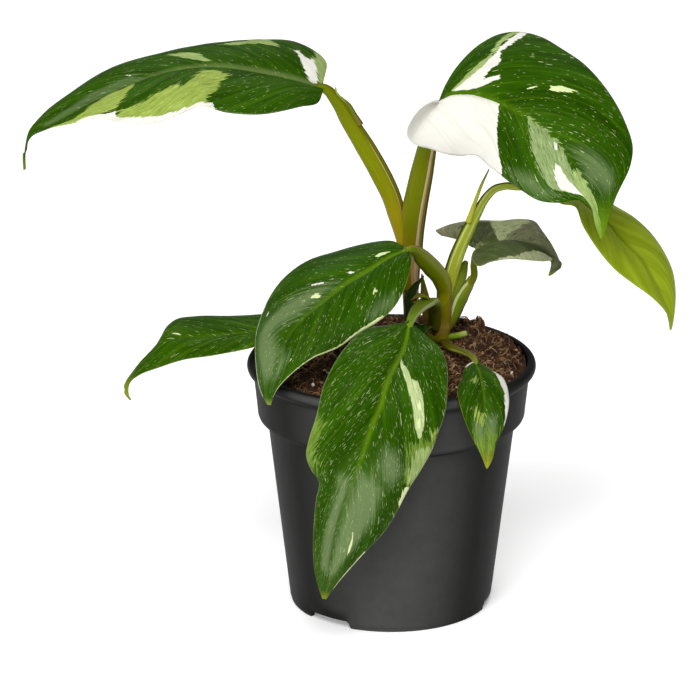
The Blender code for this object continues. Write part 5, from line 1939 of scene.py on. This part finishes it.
@dataclass(frozen=True)
class Softbox:
    """A square soft light: its place and aim in metres, its side in metres and its power."""

    name: str
    place: Point
    aim: Point
    size: float
    power: float

    def build(self) -> None:
        """Hang the light and point it at its aim."""
        lamp = bpy.data.lights.new(self.name, "AREA")
        lamp.shape = "SQUARE"
        lamp.size = self.size
        lamp.energy = self.power
        item = bpy.data.objects.new(self.name, lamp)
        bpy.context.scene.collection.objects.link(item)
        item.location = self.place
        x, y, z = np.subtract(self.aim, self.place)
        item.rotation_euler = (float(np.arctan2(np.hypot(x, y), -z)), 0.0, float(np.arctan2(-x, y)))


@dataclass
class Studio:
    """A plain pale floor, soft lights and the camera."""

    pitch: float = 18.6
    distance: float = 1700.0
    target: Point = (-18.05, 0.0, 110.1)
    lens: float = 211.9
    floor_reach: float = 6.0
    surround: float = 0.22
    lamps: tuple[Softbox, ...] = (
        Softbox("key_softbox", (-0.15, -1.50, 1.70), (0.0, 0.0, 0.12), 1.3, 52.0),
        Softbox("side_softbox", (-1.30, -1.25, 0.60), (0.0, 0.0, 0.12), 0.6, 12.0),
        Softbox("back_softbox", (0.0, 1.30, 1.80), (0.0, 1.10, 0.0), 1.7, 20.0),
    )

    def build(self) -> None:
        """Set the floor, the lights, the surroundings, the camera and a plain view transform."""
        bpy.context.scene.view_settings.view_transform = "Standard"
        self.floor()
        world = bpy.data.worlds.new("studio")
        bpy.context.scene.world = world
        world.use_nodes = True
        background = world.node_tree.nodes["Background"]
        background.inputs["Color"].default_value = (1.0, 1.0, 1.0, 1.0)
        background.inputs["Strength"].default_value = self.surround
        for lamp in self.lamps:
            lamp.build()
        self.camera()

    def floor(self) -> None:
        """Lay the floor just under the pot."""
        reach = self.floor_reach / MM
        corners = np.array([[-reach, -reach, 0.0], [reach, -reach, 0.0], [reach, reach, 0.0],
                            [-reach, reach, 0.0]])
        material, _, _ = new_material(
            "floor_finish", Base_Color=(0.95, 0.95, 0.95), Roughness=0.9, Specular_IOR_Level=0.1,
            Emission_Color=(1.0, 1.0, 1.0), Emission_Strength=0.20)
        item = add_mesh("studio_floor", corners, [np.array([[0, 1, 2, 3]])], material)

    def camera(self) -> None:
        """Place the camera at the photograph's angle."""
        tilt = radians(self.pitch)
        aim = ORIGIN + np.array(self.target) * MM
        ahead = np.array([0.0, cos(tilt), -sin(tilt)])
        made = bpy.data.cameras.new("photo_camera")
        made.lens = self.lens
        made.sensor_width = 36.0
        made.sensor_fit = "HORIZONTAL"
        made.clip_start = 0.05
        made.clip_end = 50.0
        item = bpy.data.objects.new("photo_camera", made)
        bpy.context.scene.collection.objects.link(item)
        item.location = aim - ahead * self.distance * MM
        item.rotation_euler = (pi / 2 - tilt, 0.0, 0.0)
        bpy.context.scene.camera = item


def main() -> None:
    """Build the plant piece by piece."""
    logging.basicConfig(level=logging.INFO, format="%(name)s: %(message)s")
    Studio().build()
    Pot().build()
    Soil().build()
    for number, leaf in enumerate(LEAVES, start=1):
        leaf.build(seed=LEAF_STEP * number)
    for node, stalks in (("shoot_tall", TALL_SHOOT), ("shoot_short", SHORT_SHOOT)):
        for number, stalk in enumerate(stalks, start=1):
            settle(stalk.build(seed=STALK_STEP * number), "stem", node)


if __name__ == "__main__":
    main()
